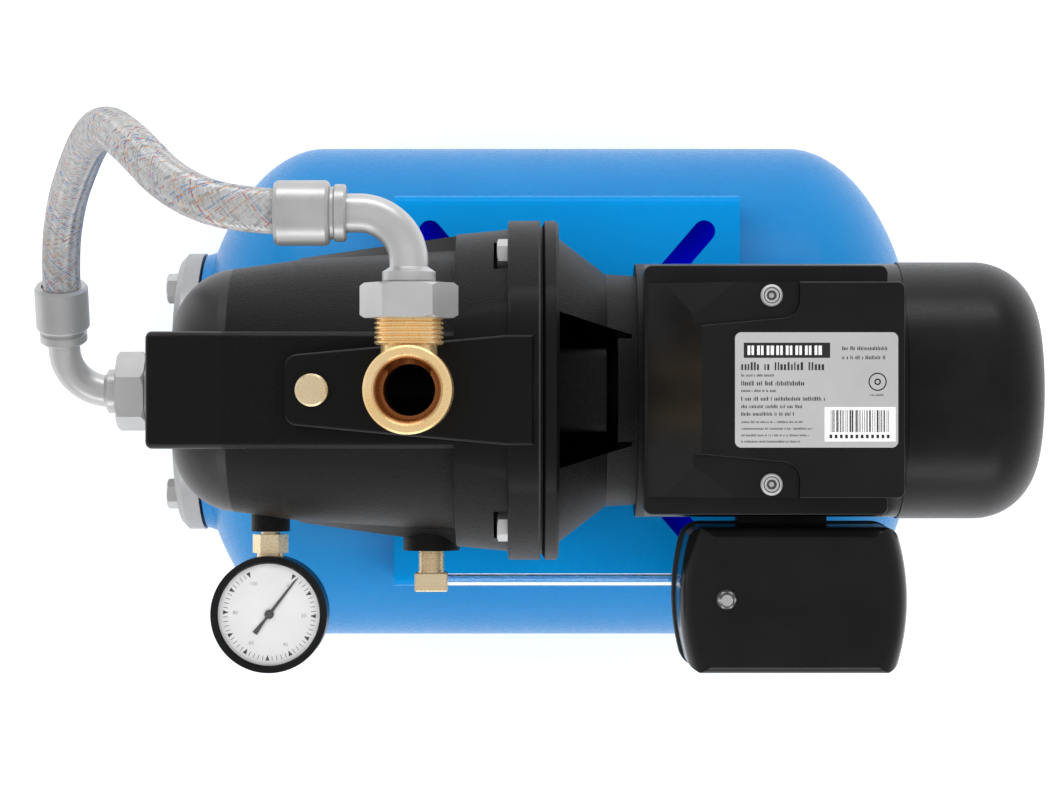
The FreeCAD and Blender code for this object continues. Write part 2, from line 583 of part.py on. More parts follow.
def bearing_balls():
    """Each ball set is one solid, held by its cage ring."""
    sets = []
    for x in BEARING_X:
        middle = x + BEARING_WIDTH / 2
        parts = [ring(BEARING_PITCH_R + 0.8, BEARING_PITCH_R - 0.8, (middle - 2.5, 0, AXIS_Z), X_AXIS, 5)]
        for i in range(BALL_COUNT):
            y, z = around(BEARING_PITCH_R, 360 / BALL_COUNT * i)
            parts.append(Part.makeSphere(BALL_R, V(middle, y, z)))
        sets.append(fused(parts))
    return Part.makeCompound(sets)


def rear_end_shield():
    outside = [(158, 11.5), (158, 24), (163, 30), (163, 60.9), (174, 60.9), (174, 56), (170, 54), (170, 26)]
    inside = [(175, 24), (175, 11.5), (172, 11.5), (172, BEARING_OUTER_R), (160, BEARING_OUTER_R), (160, 11.5)]
    return x_turned(outside + inside)


def cooling_fan():
    hub = ring(13, 7, (182, 0, AXIS_Z), X_AXIS, 22)
    disc = ring(40, 7, (182, 0, AXIS_Z), X_AXIS, 2.5)
    blade = block((182, 204), (-1.2, 1.2), (AXIS_Z + 11, AXIS_Z + 56))
    return fused([hub, disc] + [turned_about_axis(blade, 60 * i) for i in range(6)])


def hood_solid(r, end):
    """Solid of revolution with a straight skirt, a wide arc and a flat back."""
    start, skirt, rim = 171.9, 212.0, 42.0
    edge = AXIS_Z + r
    outline = [Part.LineSegment(V(start, 0, edge), V(skirt, 0, edge)),
               Part.Arc(V(skirt, 0, edge), V(end - 9.4, 0, edge - 8.3), V(end, 0, AXIS_Z + rim)),
               Part.LineSegment(V(end, 0, AXIS_Z + rim), V(end, 0, AXIS_Z)),
               Part.LineSegment(V(end, 0, AXIS_Z), V(start, 0, AXIS_Z)),
               Part.LineSegment(V(start, 0, AXIS_Z), V(start, 0, edge))]
    face = Part.Face(Part.Wire([piece.toShape() for piece in outline]))
    return face.revolve(V(0, 0, AXIS_Z), X_AXIS, 360)


def fan_cover():
    """A pressed hood with a slotted back."""
    hood = hood_solid(FAN_COVER_R, FAN_COVER_END).cut(hood_solid(FAN_COVER_R - 2, FAN_COVER_END - 2))
    hood = hood.fuse(ring(FAN_COVER_R - 1, MOTOR_R, (171.9, 0, AXIS_Z), X_AXIS, 4.1))
    hood = hood.cut(cylinder(MOTOR_R, (170, 0, AXIS_Z), X_AXIS, 6)).removeSplitter()
    cuts = [ring(outer_r, outer_r - 3.2, (FAN_COVER_END - 6, 0, AXIS_Z), X_AXIS, 10)
            for outer_r in (15, 22, 29, 36)]
    spokes = block((FAN_COVER_END - 7, FAN_COVER_END + 5), (-2, 2), (AXIS_Z - 40, AXIS_Z + 40))
    spokes = fused([turned_about_axis(spokes, 60 * i) for i in range(3)])
    for cut in cuts:
        hood = hood.cut(cut.cut(spokes))
    return hood


def cover_screws():
    """Box cover screws, then the three screws of the fan cover, all on its lower half."""
    screws = []
    for y in (-BOX_SCREW_Y, BOX_SCREW_Y):
        head = z_turned([(BOX_POCKET_Z, 0), (BOX_POCKET_Z, 5.3), (BOX_POCKET_Z + 2.2, 5.3),
                         (BOX_POCKET_Z + 3.2, 4.5), (BOX_POCKET_Z + 3.2, 3.9), (BOX_POCKET_Z + 2.3, 3.5),
                         (BOX_POCKET_Z + 2.3, 0)], BOX_SCREW_X, y)
        for i in range(6):
            lobe = around(1.7, 60 * i, 0)
            at = (BOX_SCREW_X + lobe[0], y + lobe[1], BOX_POCKET_Z + 1)
            head = head.cut(cylinder(0.65, at, Z_AXIS, 3))
        head = head.cut(cylinder(1.6, (BOX_SCREW_X, y, BOX_POCKET_Z + 1), Z_AXIS, 3))
        shank = cylinder(2.0, (BOX_SCREW_X, y, 478), Z_AXIS, BOX_POCKET_Z - 478)
        screws.append(fused([head, shank]))
    for angle in FAN_SCREW_ANGLES:
        y, z = around(FAN_COVER_R, angle)
        inner_y, inner_z = around(58.5, angle)
        out = V(0, y, z - AXIS_Z).normalize()
        head = Part.makeCylinder(4.0, 2.2, V(173.9, y, z), out)
        shank = Part.makeCylinder(1.5, FAN_COVER_R - 58.5, V(173.9, inner_y, inner_z), out)
        screws.append(fused([head, shank]))
    return Part.makeCompound(screws)


def screw_holes(shape):
    """Clear the fan cover screws from the cover and the shield."""
    for angle in FAN_SCREW_ANGLES:
        inner_y, inner_z = around(58.5, angle)
        out = V(0, inner_y, inner_z - AXIS_Z).normalize()
        shape = shape.cut(Part.makeCylinder(1.5, 12, V(173.9, inner_y, inner_z), out))
    return shape


def motor_foot():
    """Folded sheet foot under the motor's front end."""
    plate = block((42.4, 66), (-64, 64), (PLATFORM_Z, PLATFORM_Z + 3))
    walls = [block((42.4, 66), (side * 34 - 1.5, side * 34 + 1.5), (PLATFORM_Z, 372)) for side in (-1, 1)]
    saddle = ring(MOTOR_R + 3, MOTOR_R, (42.4, 0, AXIS_Z), X_AXIS, 23.6)
    saddle = saddle.common(block((42, 67), (-35.5, 35.5), (330, 372)))
    foot = fused([plate, saddle] + [w.cut(cylinder(MOTOR_R, (42, 0, AXIS_Z), X_AXIS, 25)) for w in walls])
    for y in (-MOUNT_Y, MOUNT_Y):
        foot = foot.cut(cylinder(4.0, (SLOT_ORIGIN_X + MOUNT_DX, y, PLATFORM_Z - 1), Z_AXIS, 6))
    return foot


# ---- terminal box ----------------------------------------------------------
def terminal_box_base():
    """Tray that sits on the motor shell."""
    tray = block((39.8, 159), (-61, 61), BOX_BASE_Z)
    tray = rounded(tray, 4.0, lambda e: e.BoundBox.ZLength > 20)
    tray = rounded(tray, 1.2, lambda e: e.BoundBox.ZMin > BOX_BASE_Z[1] - 0.5)
    room = block((46, 156), (-49, 49), (472, 491))
    posts = [cylinder(5.5, (BOX_SCREW_X, y, 470), Z_AXIS, 20) for y in (-BOX_SCREW_Y, BOX_SCREW_Y)]
    tray = tray.cut(room).fuse(posts).removeSplitter()
    for y in (-BOX_SCREW_Y, BOX_SCREW_Y):
        tray = tray.cut(cylinder(2.0, (BOX_SCREW_X, y, 478), Z_AXIS, 20))
    return tray.cut(cylinder(MOTOR_R, (30, 0, AXIS_Z), X_AXIS, 150))


def cover_facet(side):
    """The wedge above the sloped facet at one left corner of the cover."""
    tip = V(BOX_COVER_X[0] + 25 - (BOX_COVER_TOP - BOX_POCKET_Z), side * 36.3, BOX_POCKET_Z)
    low_end = V(49.7, side * BOX_COVER_HALF, 497.9)
    high_end = V(83.2, side * BOX_COVER_HALF, BOX_POCKET_Z)
    stretch = 1.15
    corners = [tip, tip + (low_end - tip) * stretch, tip + (high_end - tip) * stretch]
    return Part.Face(Part.makePolygon(corners + corners[:1])).extrude(V(0, 0, 40))


def cover_solid(inset):
    """Cover's outer shape, or its room when inset is the wall."""
    x0, x1 = BOX_COVER_X[0] + inset, BOX_COVER_X[1] - inset
    half = BOX_COVER_HALF - inset
    top = BOX_COVER_TOP - inset
    low = BOX_BASE_Z[1] - (1 if inset else 0)
    slab = block((x0, x1), (-half, half), (low, top))
    if not inset:
        slab = rounded(slab, 3.5, lambda e: e.BoundBox.ZLength > 20 and e.BoundBox.XMin > x1 - 1)
    slope = Part.makePolygon([V(x0 - 5, -60, 485), V(x0 + 25, -60, top), V(x0 + 25, -60, top + 9),
                              V(x0 - 5, -60, top + 9), V(x0 - 5, -60, 485)])
    slab = slab.cut(Part.Face(slope).extrude(V(0, 120, 0)))
    for side in (-1, 1):
        pocket = prism([(30, side * 31.2), (66.8, side * 31.2), (104, side * 34.6), (113.8, side * 35.5),
                        (113.8, side * 60), (30, side * 60)], BOX_POCKET_Z - inset, 530)
        pocket = rounded(pocket, 9.0, lambda e: e.BoundBox.ZLength > 10 and e.BoundBox.XMin > 113
                         and abs(e.BoundBox.YMin) < 40)
        slab = slab.cut(pocket)
        slab = slab.cut(cover_facet(side).translated(V(inset, -side * inset, -inset)))
    return slab


def terminal_box_cover():
    cover = cover_solid(0)
    cover = rounded(cover, 0.8, lambda e: e.BoundBox.ZMin > BOX_COVER_TOP - 0.1)
    cover = cover.cut(cover_solid(2.5))
    for y in (-BOX_SCREW_Y, BOX_SCREW_Y):
        post_height = BOX_POCKET_Z - BOX_BASE_Z[1]
        cover = cover.fuse(cylinder(5.5, (BOX_SCREW_X, y, BOX_BASE_Z[1]), Z_AXIS, post_height))
        cover = cover.cut(cylinder(2.0, (BOX_SCREW_X, y, 480), Z_AXIS, 40))
    return cover.removeSplitter()


def rating_label():
    label = block((82.6, 161), (-27.7, 27.7), (BOX_COVER_TOP, BOX_COVER_TOP + 0.3))
    return rounded(label, 3.0, lambda e: e.BoundBox.ZLength > 0.2 and e.Length < 1)


def capacitor():
    can = cylinder(15, (60, 18, 488), X_AXIS, 78)
    can = rounded(can, 1.5, lambda e: e.Length > 50)
    tags = [block((138, 146), (y - 3, y + 3), (487.6, 488.4)) for y in (12, 24)]
    return fused([can] + tags)


def terminal_block():
    base = block((76, 130), (-34, -12), (472, 484))
    walls = [block((76 + 13.5 * i - 1, 76 + 13.5 * i + 1), (-34, -12), (484, 490)) for i in range(5)]
    screws = [cylinder(2.6, (82.75 + 13.5 * i, -23, 484), Z_AXIS, 3) for i in range(4)]
    return fused([base] + walls + screws)


# ---- outlet, hose and fittings ---------------------------------------------
def brass_tee():
    """Vertical tee: male spigot below, open female port above, male port on the side."""
    body = z_turned([(478, 0), (478, SPIGOT_R), (PAD_TOP, SPIGOT_R), (PAD_TOP, 18.5), (500, 19), (503, TEE_R),
                     (TEE_TOP - 1, TEE_R), (TEE_TOP, TEE_R - 1), (TEE_TOP, 0)], OUTLET_X, 0)
    ridges = [(12, 13.5), (21.5, 13.5), (21.5, 15.4)]
    pitch = 2.3
    for i in range(9):
        y = 22.3 + pitch * i
        ridges += [(y, 16.6), (y + 0.8, 16.6), (y + 1.5, 15.4), (y + 2.0, 15.4)]
    ridges += [(44.0, 14.5), (44.0, 0), (12, 0)]
    side = y_turned(ridges, OUTLET_X, TEE_Z)
    bore = cylinder(12.5, (OUTLET_X, 0, 470), Z_AXIS, 60)
    top = z_turned([(520, 0), (520, PORT_R - 1), (524, PORT_R), (TEE_TOP - 2, PORT_R), (TEE_TOP + 0.01, 17),
                    (TEE_TOP + 0.01, 0)], OUTLET_X, 0)
    branch = cylinder(10.5, (OUTLET_X, 0, TEE_Z), Y_AXIS, 60)
    return fused([body, side]).cut(bore).cut(top).cut(branch)


def hose_nut():
    """Union nut along +Z, mouth at 0, back wall at the far end."""
    length = 16.8
    nut = hexagon(NUT_FLATS, (0, 0, 0), Z_AXIS, length)
    chamfer = z_turned([(0, 0), (0, 21.5), (1.5, 23.6), (length - 1.5, 23.6), (length, 21.5),
                        (length, 0)], 0, 0)
    bore = z_turned([(-1, 0), (-1, 16.65), (length - 3.2, 16.65), (length - 3.2, ELBOW_R + 0.1),
                     (length + 1, ELBOW_R + 0.1), (length + 1, 0)], 0, 0)
    return nut.common(chamfer).cut(bore)


def placed_along(shape, start, direction, spin=0.0):
    copy = shape.copy()
    turn = FreeCAD.Rotation(Z_AXIS, direction).multiply(FreeCAD.Rotation(Z_AXIS, spin))
    copy.Placement = FreeCAD.Placement(V(*start), turn)
    return copy


def hose_nuts():
    upper = placed_along(hose_nut(), (OUTLET_X, 34.4, TEE_Z), Y_AXIS, 0)
    lower = placed_along(hose_nut(), (-241.2, 0, TANK_Z), X_AXIS.negative(), 20)
    return Part.makeCompound([upper, lower])


def tail_piece(length):
    """Straight end of an elbow along +Z: seat in the nut, tube, outer collar."""
    return z_turned([(10.4, ELBOW_BORE), (10.4, 15), (13.5, 15), (13.5, ELBOW_R), (16.9, ELBOW_R),
                     (16.9, COLLAR_R - 1), (17.9, COLLAR_R), (22.0, COLLAR_R), (23.6, ELBOW_R + 1),
                     (24.4, ELBOW_R), (length, ELBOW_R), (length, ELBOW_BORE)], 0, 0)


def quarter_bend(centre, axis, start_point, angle=90):
    """A hollow bend swept about axis, from the disc at start_point."""
    towards = V(*start_point) - V(*centre)
    normal = axis.cross(towards).normalize()
    rim = Part.Face(Part.Wire(Part.Circle(V(*start_point), normal, ELBOW_R).toShape()))
    hole = Part.Face(Part.Wire(Part.Circle(V(*start_point), normal, ELBOW_BORE).toShape()))
    return rim.revolve(V(*centre), axis, angle).cut(hole.revolve(V(*centre), axis, angle))


def upper_hose_elbow():
    bend_y = UPPER_HOSE_Y - UPPER_BEND
    tail = placed_along(tail_piece(bend_y - 34.4), (OUTLET_X, 34.4, TEE_Z), Y_AXIS)
    centre = (OUTLET_X - UPPER_BEND, bend_y, TEE_Z)
    bend = quarter_bend(centre, Z_AXIS, (OUTLET_X, bend_y, TEE_Z))
    end_x = OUTLET_X - UPPER_BEND
    arm = ring(ELBOW_R, ELBOW_BORE, (end_x, UPPER_HOSE_Y, TEE_Z), X_AXIS.negative(), end_x - HOSE_ROUTE[0][0])
    return fused([tail, bend, arm])


def lower_arm_direction():
    tilt = math.radians(LOWER_TILT)
    return V(0, math.cos(tilt), math.sin(tilt))


def lower_hose_elbow():
    bend_x = LOWER_ARM_X + LOWER_BEND
    tail = placed_along(tail_piece(-241.2 - bend_x), (-241.2, 0, TANK_Z), X_AXIS.negative())
    arm_way = lower_arm_direction()
    centre = V(bend_x, 0, TANK_Z) + arm_way * LOWER_BEND
    bend = quarter_bend(tuple(centre), arm_way.cross(X_AXIS), (bend_x, 0, TANK_Z))
    start = V(LOWER_ARM_X, 0, TANK_Z) + arm_way * LOWER_BEND
    end = V(*HOSE_ROUTE[-1])
    arm = ring(ELBOW_R, ELBOW_BORE, tuple(start), arm_way, (end - start).Length)
    return fused([tail, bend, arm])


def ferrule(hose_inside):
    """Crimp sleeve along +Z, hose end at hose_inside, mouth at the far end."""
    collar = [(-0.8, ELBOW_R), (-0.8, 12.8), (0.2, 13.8), (4.6, 13.8), (5.4, 12.6), (6.8, 12.6)]
    sleeve = [(7.6, 14.8), (9, FERRULE_R), (32, FERRULE_R), (33.8, 14.4), (33.8, HOSE_R + 0.4),
              (31, HOSE_R)]
    return z_turned(collar + sleeve + [(hose_inside, HOSE_R), (hose_inside, ELBOW_R)], 0, 0)


def hose_ferrules():
    start_x = -104.4
    upper = placed_along(ferrule(start_x - HOSE_ROUTE[0][0]), (start_x, UPPER_HOSE_Y, TEE_Z), X_AXIS.negative())
    arm_way = lower_arm_direction()
    base = V(LOWER_ARM_X, 0, TANK_Z) + arm_way * 32.5
    inside = (V(*HOSE_ROUTE[-1]) - base).Length
    return Part.makeCompound([upper, placed_along(ferrule(inside), tuple(base), arm_way)])


def cord_path(route):
    """Straight runs joined by tangent arcs; prints each arc's radius."""
    points = [V(*p) for p in route]
    edges = []
    start = points[0]
    radii = []
    for before, corner, after in zip(points, points[1:], points[2:]):
        run_in, run_out = corner - before, after - corner
        turn = run_in.getAngle(run_out)
        cut_back = 0.45 * min(run_in.Length, run_out.Length)
        radii.append(cut_back / math.tan(turn / 2))
        first = corner - V(run_in).normalize() * cut_back
        last = corner + V(run_out).normalize() * cut_back
        inward = (V(run_out).normalize() - V(run_in).normalize()).normalize()
        middle = corner + inward * (math.hypot(radii[-1], cut_back) - radii[-1])
        edges.append(Part.LineSegment(start, first).toShape())
        edges.append(Part.Arc(first, middle, last).toShape())
        start = last
    edges.append(Part.LineSegment(start, points[-1]).toShape())
    print("hose arc radii", [round(r, 1) for r in radii])
    return Part.Wire(edges)


def braided_hose():
    path = cord_path(HOSE_ROUTE)
    first_way = V(*HOSE_ROUTE[1]) - V(*HOSE_ROUTE[0])
    section = Part.Wire(Part.Circle(V(*HOSE_ROUTE[0]), first_way, HOSE_R).toShape())
    tube = path.makePipeShell([section], True, False)
    print("hose length", round(path.Length, 1), "volume ratio",
          round(tube.Volume / (math.pi * HOSE_R ** 2 * path.Length), 4))
    return tube


# ---- pressure gauge --------------------------------------------------------
def stem_block():
    return block((GAUGE_X - 5, GAUGE_X + 5), (-97, -86), (PORTS_Z - 6, PORTS_Z + 3))


def gauge_stem():
    block_in_case = stem_block()
    hexed = hexagon(16, (GAUGE_X, -74.4, PORTS_Z), Y_AXIS.negative(), 9.6, 0)
    thread = cylinder(4.8, (GAUGE_X, -64, PORTS_Z), Y_AXIS.negative(), 18)
    neck = cylinder(7, (GAUGE_X, -80, PORTS_Z), Y_AXIS.negative(), 7)
    stem = fused([block_in_case, hexed, thread, neck])
    return stem.cut(cylinder(2, (GAUGE_X, -60, PORTS_Z), Y_AXIS.negative(), 32))


def gauge_case():
    cup = z_turned([(380, 0), (380, 28.5), (382, 30), (406, 30), (406, 27), (405, 26.2), (404.2, 26.2),
                    (404.2, 28.4), (383, 28.4), (381.5, 26), (381.5, 0)], GAUGE_X, GAUGE_Y)
    return cup.cut(cylinder(7, (GAUGE_X, -80, PORTS_Z), Y_AXIS.negative(), 7)).cut(stem_block())


def gauge_dial():
    return ring(28.3, 1.3, (GAUGE_X, GAUGE_Y, 399.5), Z_AXIS, 0.8)


def gauge_lens():
    return cylinder(28.3, (GAUGE_X, GAUGE_Y, 403), Z_AXIS, 1.2)


def gear_outline(teeth, first_tooth):
    """Plain trapezoid teeth, thinned so that the pair never touches."""
    pitch_r = GEAR_MODULE * teeth / 2
    step = 360 / teeth
    points = []
    for i in range(teeth):
        middle = first_tooth + i * step
        for radius, share in ((pitch_r - 1.25 * GEAR_MODULE, -0.30), (pitch_r, -0.19),
                              (pitch_r + 0.7 * GEAR_MODULE, -0.09), (pitch_r + 0.7 * GEAR_MODULE, 0.09),
                              (pitch_r, 0.19), (pitch_r - 1.25 * GEAR_MODULE, 0.30)):
            angle = math.radians(middle + share * step)
            points.append((radius * math.cos(angle), radius * math.sin(angle)))
    return points


def gauge_pointer():
    """Pointer, its arbor and its pinion."""
    tip, tail = 23.8, 12.4
    blade = prism([(-tail, -1.4), (-tail, 1.4), (-4, 0.7), (0, 0.9), (tip - 3, 0.5), (tip, 0), (tip - 3, -0.5),
                   (0, -0.9), (-4, -0.7)], 401.2, 401.7)
    hub = cylinder(2.4, (0, 0, 401.0), Z_AXIS, 1.4)
    arbor = cylinder(0.9, (0, 0, 385), Z_AXIS, 16.5)
    pinion = prism(gear_outline(PINION_TEETH, SECTOR_AT - POINTER_REST), 394, 397)
    pointer = fused([blade, hub, arbor, pinion])
    pointer.rotate(V(0, 0, 0), Z_AXIS, POINTER_REST)
    pointer.translate(V(GAUGE_X, GAUGE_Y, 0))
    return pointer


def sector_pivot():
    angle = math.radians(SECTOR_AT)
    return GAUGE_X + GEAR_DISTANCE * math.cos(angle), GAUGE_Y + GEAR_DISTANCE * math.sin(angle)


def gauge_sector():
    """Toothed sector with a tail for the Bourdon tube's link."""
    facing = SECTOR_AT + 180
    gap = 360 / SECTOR_TEETH / 2
    wheel = prism(gear_outline(SECTOR_TEETH, facing + gap), 394.3, 395.7)
    reach = 40
    low, high = facing - 7, facing + 56
    wedge = prism([(0, 0)] + [(reach * math.cos(math.radians(a)), reach * math.sin(math.radians(a)))
                              for a in (low, (low + high) / 2, high)], 390, 400)
    sector = wheel.common(wedge)
    window = ring(13.5, 5, (0, 0, 390), Z_AXIS, 10)
    arms = prism([(0, 0)] + [(reach * math.cos(math.radians(a)), reach * math.sin(math.radians(a)))
                             for a in (low + 14, high - 14)], 390, 400)
    sector = sector.cut(window.common(arms))
    hub = ring(2.6, 1.05, (0, 0, 393.5), Z_AXIS, 3)
    sector = sector.cut(cylinder(1.05, (0, 0, 390), Z_AXIS, 10)).fuse(hub).removeSplitter()
    x, y = sector_pivot()
    sector.translate(V(x, y, 0))
    return sector


def gauge_bourdon_tube():
    """Bent C tube, its bridge plate and the sector's pivot pin."""
    turned = Part.Face(Part.makePolygon([V(21, 0, 384), V(23.5, 0, 384), V(23.5, 0, 391.5), V(21, 0, 391.5),
                                         V(21, 0, 384)])).revolve(V(0, 0, 0), Z_AXIS, 250)
    turned.rotate(V(0, 0, 0), Z_AXIS, 95)
    turned.translate(V(GAUGE_X, GAUGE_Y, 0))
    x, y = sector_pivot()
    bridge = block((x - 4, GAUGE_X + 4), (y - 4, GAUGE_Y + 4), (388.5, 390))
    bridge = bridge.cut(cylinder(1.0, (GAUGE_X, GAUGE_Y, 380), Z_AXIS, 20))
    pin = cylinder(1.0, (x, y, 389), Z_AXIS, 8.5)
    tie = block((GAUGE_X - 24, x), (y - 3, y + 3), (388.5, 390))
    return fused([turned, bridge, pin, tie]).cut(stem_block())


# ---- pressure switch and sensing line --------------------------------------
def sense_elbow():
    """Brass elbow on the casing and the straight connector on the switch."""
    body = block((SENSE_X - 8.5, SENSE_X + 8.5), (-103.8, -94), (PORTS_Z - 8.5, PORTS_Z + 8.5))
    body = rounded(body, 1.0, lambda e: True)
    outline = [(-70, 0), (-70, 6.75)]
    for i in range(8):
        y = -83.4 - 1.25 * i
        outline += [(y, 6.75), (y - 0.3, 6.15), (y - 0.6, 6.15), (y - 0.9, 6.75)]
    outline += [(-95, 6.75), (-95, 0)]
    elbow = fused([body, y_turned(outline, SENSE_X, PORTS_Z)])
    elbow = elbow.cut(cylinder(2.4, (SENSE_X, -60, PORTS_Z), Y_AXIS.negative(), 38.5))
    elbow = elbow.cut(cylinder(3.2, (SENSE_X, SENSE_Y, PORTS_Z), X_AXIS, 20))
    connector = fused([hexagon(12, (SENSE_END - 5, SENSE_Y, PORTS_Z), X_AXIS, 5),
                       cylinder(4.8, (SENSE_END, SENSE_Y, PORTS_Z), X_AXIS, 14)])
    connector = connector.cut(cylinder(3.2, (SENSE_END - 6, SENSE_Y, PORTS_Z), X_AXIS, 8))
    connector = connector.cut(cylinder(2.0, (SENSE_END - 6, SENSE_Y, PORTS_Z), X_AXIS, 22))
    return Part.makeCompound([elbow, connector])


def sense_tube():
    return ring(3.2, 2.2, (SENSE_X, SENSE_Y, PORTS_Z), X_AXIS, SENSE_END + 2 - SENSE_X)


def bulged_outline(half_x, half_y, corner, z):
    """Closed wire about the switch's centre: straight front and back, bowed ends, rounded corners."""
    end = half_x - SWITCH_BULGE
    place = V(SWITCH_X, SWITCH_Y, z)
    right = Part.Arc(place + V(end, -half_y, 0), place + V(half_x, 0, 0), place + V(end, half_y, 0))
    left = Part.Arc(place + V(-end, half_y, 0), place + V(-half_x, 0, 0), place + V(-end, -half_y, 0))
    back = Part.LineSegment(place + V(end, half_y, 0), place + V(-end, half_y, 0))
    front = Part.LineSegment(place + V(-end, -half_y, 0), place + V(end, -half_y, 0))
    wire = Part.Wire([part.toShape() for part in (right, back, left, front)])
    solid = Part.Face(wire).extrude(V(0, 0, 1))
    solid = rounded(solid, corner, lambda e: e.BoundBox.ZLength > 0.5)
    return [f for f in solid.Faces if f.BoundBox.ZLength < 0.1 and f.BoundBox.ZMin < z + 0.5][0].OuterWire


def crowned(half_x, half_y, low, high, side_r, edge_r):
    """Box with bowed ends; its top falls off roundly to the ends and less so to front and back."""
    bow = (half_y ** 2 + SWITCH_BULGE ** 2) / (2 * SWITCH_BULGE)
    reach = half_x + 5
    body = block((SWITCH_X - reach, SWITCH_X + reach), (SWITCH_Y - half_y, SWITCH_Y + half_y), (low, high))
    body = rounded(body, edge_r, lambda e: e.BoundBox.ZMin > high - 0.5 and e.BoundBox.XLength > 20)
    for side in (-1, 1):
        drum = cylinder(bow, (SWITCH_X + side * (half_x - bow), SWITCH_Y, low), Z_AXIS, high - low)
        body = body.common(rounded(drum, side_r, lambda e: e.BoundBox.ZMin > high - 0.5))
    return body


def switch_cover():
    low, high = SWITCH_BASE_Z[1], SWITCH_TOP
    wide, deep = SWITCH_HALF
    corners = Part.Face(bulged_outline(wide + 0.4, deep + 0.4, 11, low)).extrude(V(0, 0, high - low))
    outer = crowned(wide, deep, low, high, 14, 6).common(corners)
    room = Part.Face(bulged_outline(wide - 2.5, deep - 2.5, 8, low - 1)).extrude(V(0, 0, high - low))
    room = room.common(crowned(wide - 2.4, deep - 2.4, low - 1, high - 2.5, 13, 5))
    return outer.cut(room).cut(cylinder(3.1, (CAP_NUT_X, CAP_NUT_Y, 400), Z_AXIS, 90))


def switch_base():
    """Moulded base with a saddle on the motor, cover stud, spring stud and lever pivot."""
    low, high = SWITCH_BASE_Z
    wide, deep = SWITCH_HALF
    outline = bulged_outline(wide + 1.5, deep + 1, 11, SWITCH_PLATE_Z)
    plate = Part.Face(outline).extrude(V(0, 0, high - SWITCH_PLATE_Z))
    plate = rounded(plate, 1.5, lambda e: e.BoundBox.ZLength < 0.1)
    tub = block((66, 150), (-128, -82), (low, high))
    tub = rounded(tub, 6, lambda e: e.BoundBox.ZLength > 15)
    saddle = block((90, 136), (-84, -55), (low + 11, high)).cut(cylinder(MOTOR_R, (80, 0, AXIS_Z), X_AXIS, 70))
    posts = [cylinder(3.0, (CAP_NUT_X, CAP_NUT_Y, high - 5), Z_AXIS, SWITCH_TOP + 4 - high + 5),
             cylinder(2.5, (SPRING_X, SWITCH_Y, high - 5), Z_AXIS, 50)]
    ears = [block((146, 152), (SWITCH_Y + side * 14 - 1.5, SWITCH_Y + side * 14 + 1.5), (high - 4, high + 14))
            for side in (-1, 1)]
    pin = cylinder(1.5, (149, SWITCH_Y - 15, high + 10), Y_AXIS, 30)
    glands = [cylinder(9, (148, y, GLAND_Z), X_AXIS, GLAND_END - 148) for y in GLAND_Y]
    base = fused([plate, tub, saddle, pin] + posts + ears + glands)
    base = base.cut(block((122, 144), (-125, -84), (low + 3, high + 1)))
    for y in GLAND_Y:
        base = base.cut(cylinder(GLAND_BORE, (140, y, GLAND_Z), X_AXIS, 40))
    return base.cut(cylinder(4.8, (SENSE_END, SENSE_Y, PORTS_Z), X_AXIS, 14))


def switch_lever():
    """Snap lever: hinged at its right end, pushed down by the range spring."""
    high = SWITCH_BASE_Z[1]
    arm = block((92, 152), (SWITCH_Y - 11, SWITCH_Y + 11), (high + 8.5, high + 11.5))
    arm = arm.cut(cylinder(4.0, (SPRING_X, SWITCH_Y, high), Z_AXIS, 20))
    arm = arm.fuse(cylinder(3.5, (149, SWITCH_Y - 11, high + 10), Y_AXIS, 22)).removeSplitter()
    return arm.cut(cylinder(1.55, (149, SWITCH_Y - 20, high + 10), Y_AXIS, 40))


def switch_range_spring():
    """Closed coils joined by short links, standing in for a wound spring."""
    low = SWITCH_BASE_Z[1] + SPRING_TOP - SPRING_PITCH * (SPRING_TURNS - 1) - 1.1
    pieces = []
    for i in range(SPRING_TURNS):
        z = low + SPRING_PITCH * i
        pieces.append(Part.makeTorus(SPRING_R, SPRING_WIRE_R, V(SPRING_X, SWITCH_Y, z), Z_AXIS))
        if i:
            x = SPRING_X + SPRING_R * (1 if i % 2 else -1)
            pieces.append(cylinder(0.8, (x, SWITCH_Y, z - SPRING_PITCH), Z_AXIS, SPRING_PITCH))
    return fused(pieces)


def switch_nuts():
    """Cap nut on the cover's stud and range nut above the spring."""
    nut = hexagon(8, (CAP_NUT_X, CAP_NUT_Y, SWITCH_TOP), Z_AXIS, 5)
    dome = z_turned([(SWITCH_TOP, 0), (SWITCH_TOP, 4.9), (SWITCH_TOP + 1, 4.9), (SWITCH_TOP + 5, 4.0),
                     (SWITCH_TOP + 7.5, 2.8), (SWITCH_TOP + 8.3, 0)], CAP_NUT_X, CAP_NUT_Y)
    cap_nut = fused([nut, dome]).cut(cylinder(3.0, (CAP_NUT_X, CAP_NUT_Y, SWITCH_TOP - 1), Z_AXIS, 5))
    place = (SPRING_X, SWITCH_Y, SWITCH_BASE_Z[1] + SPRING_TOP)
    range_nut = hexagon(10, place, Z_AXIS, 4).fuse(cylinder(8, place, Z_AXIS, 1.2))
    return Part.makeCompound([cap_nut, range_nut.cut(cylinder(2.5, place, Z_AXIS, 10)).removeSplitter()])


def switch_contact_block():
    high = SWITCH_BASE_Z[1]
    base = block((94, 104), (SWITCH_Y - 26, SWITCH_Y - 13), (high, high + 24))
    second = block((94, 104), (SWITCH_Y + 13, SWITCH_Y + 26), (high, high + 24))
    bridge = block((88, 94), (SWITCH_Y - 26, SWITCH_Y + 26), (high, high + 6))
    screws = [cylinder(2.5, (99, SWITCH_Y + s * 19.5, high + 24), Z_AXIS, 3) for s in (-1, 1)]
    return fused([base, second, bridge] + screws)


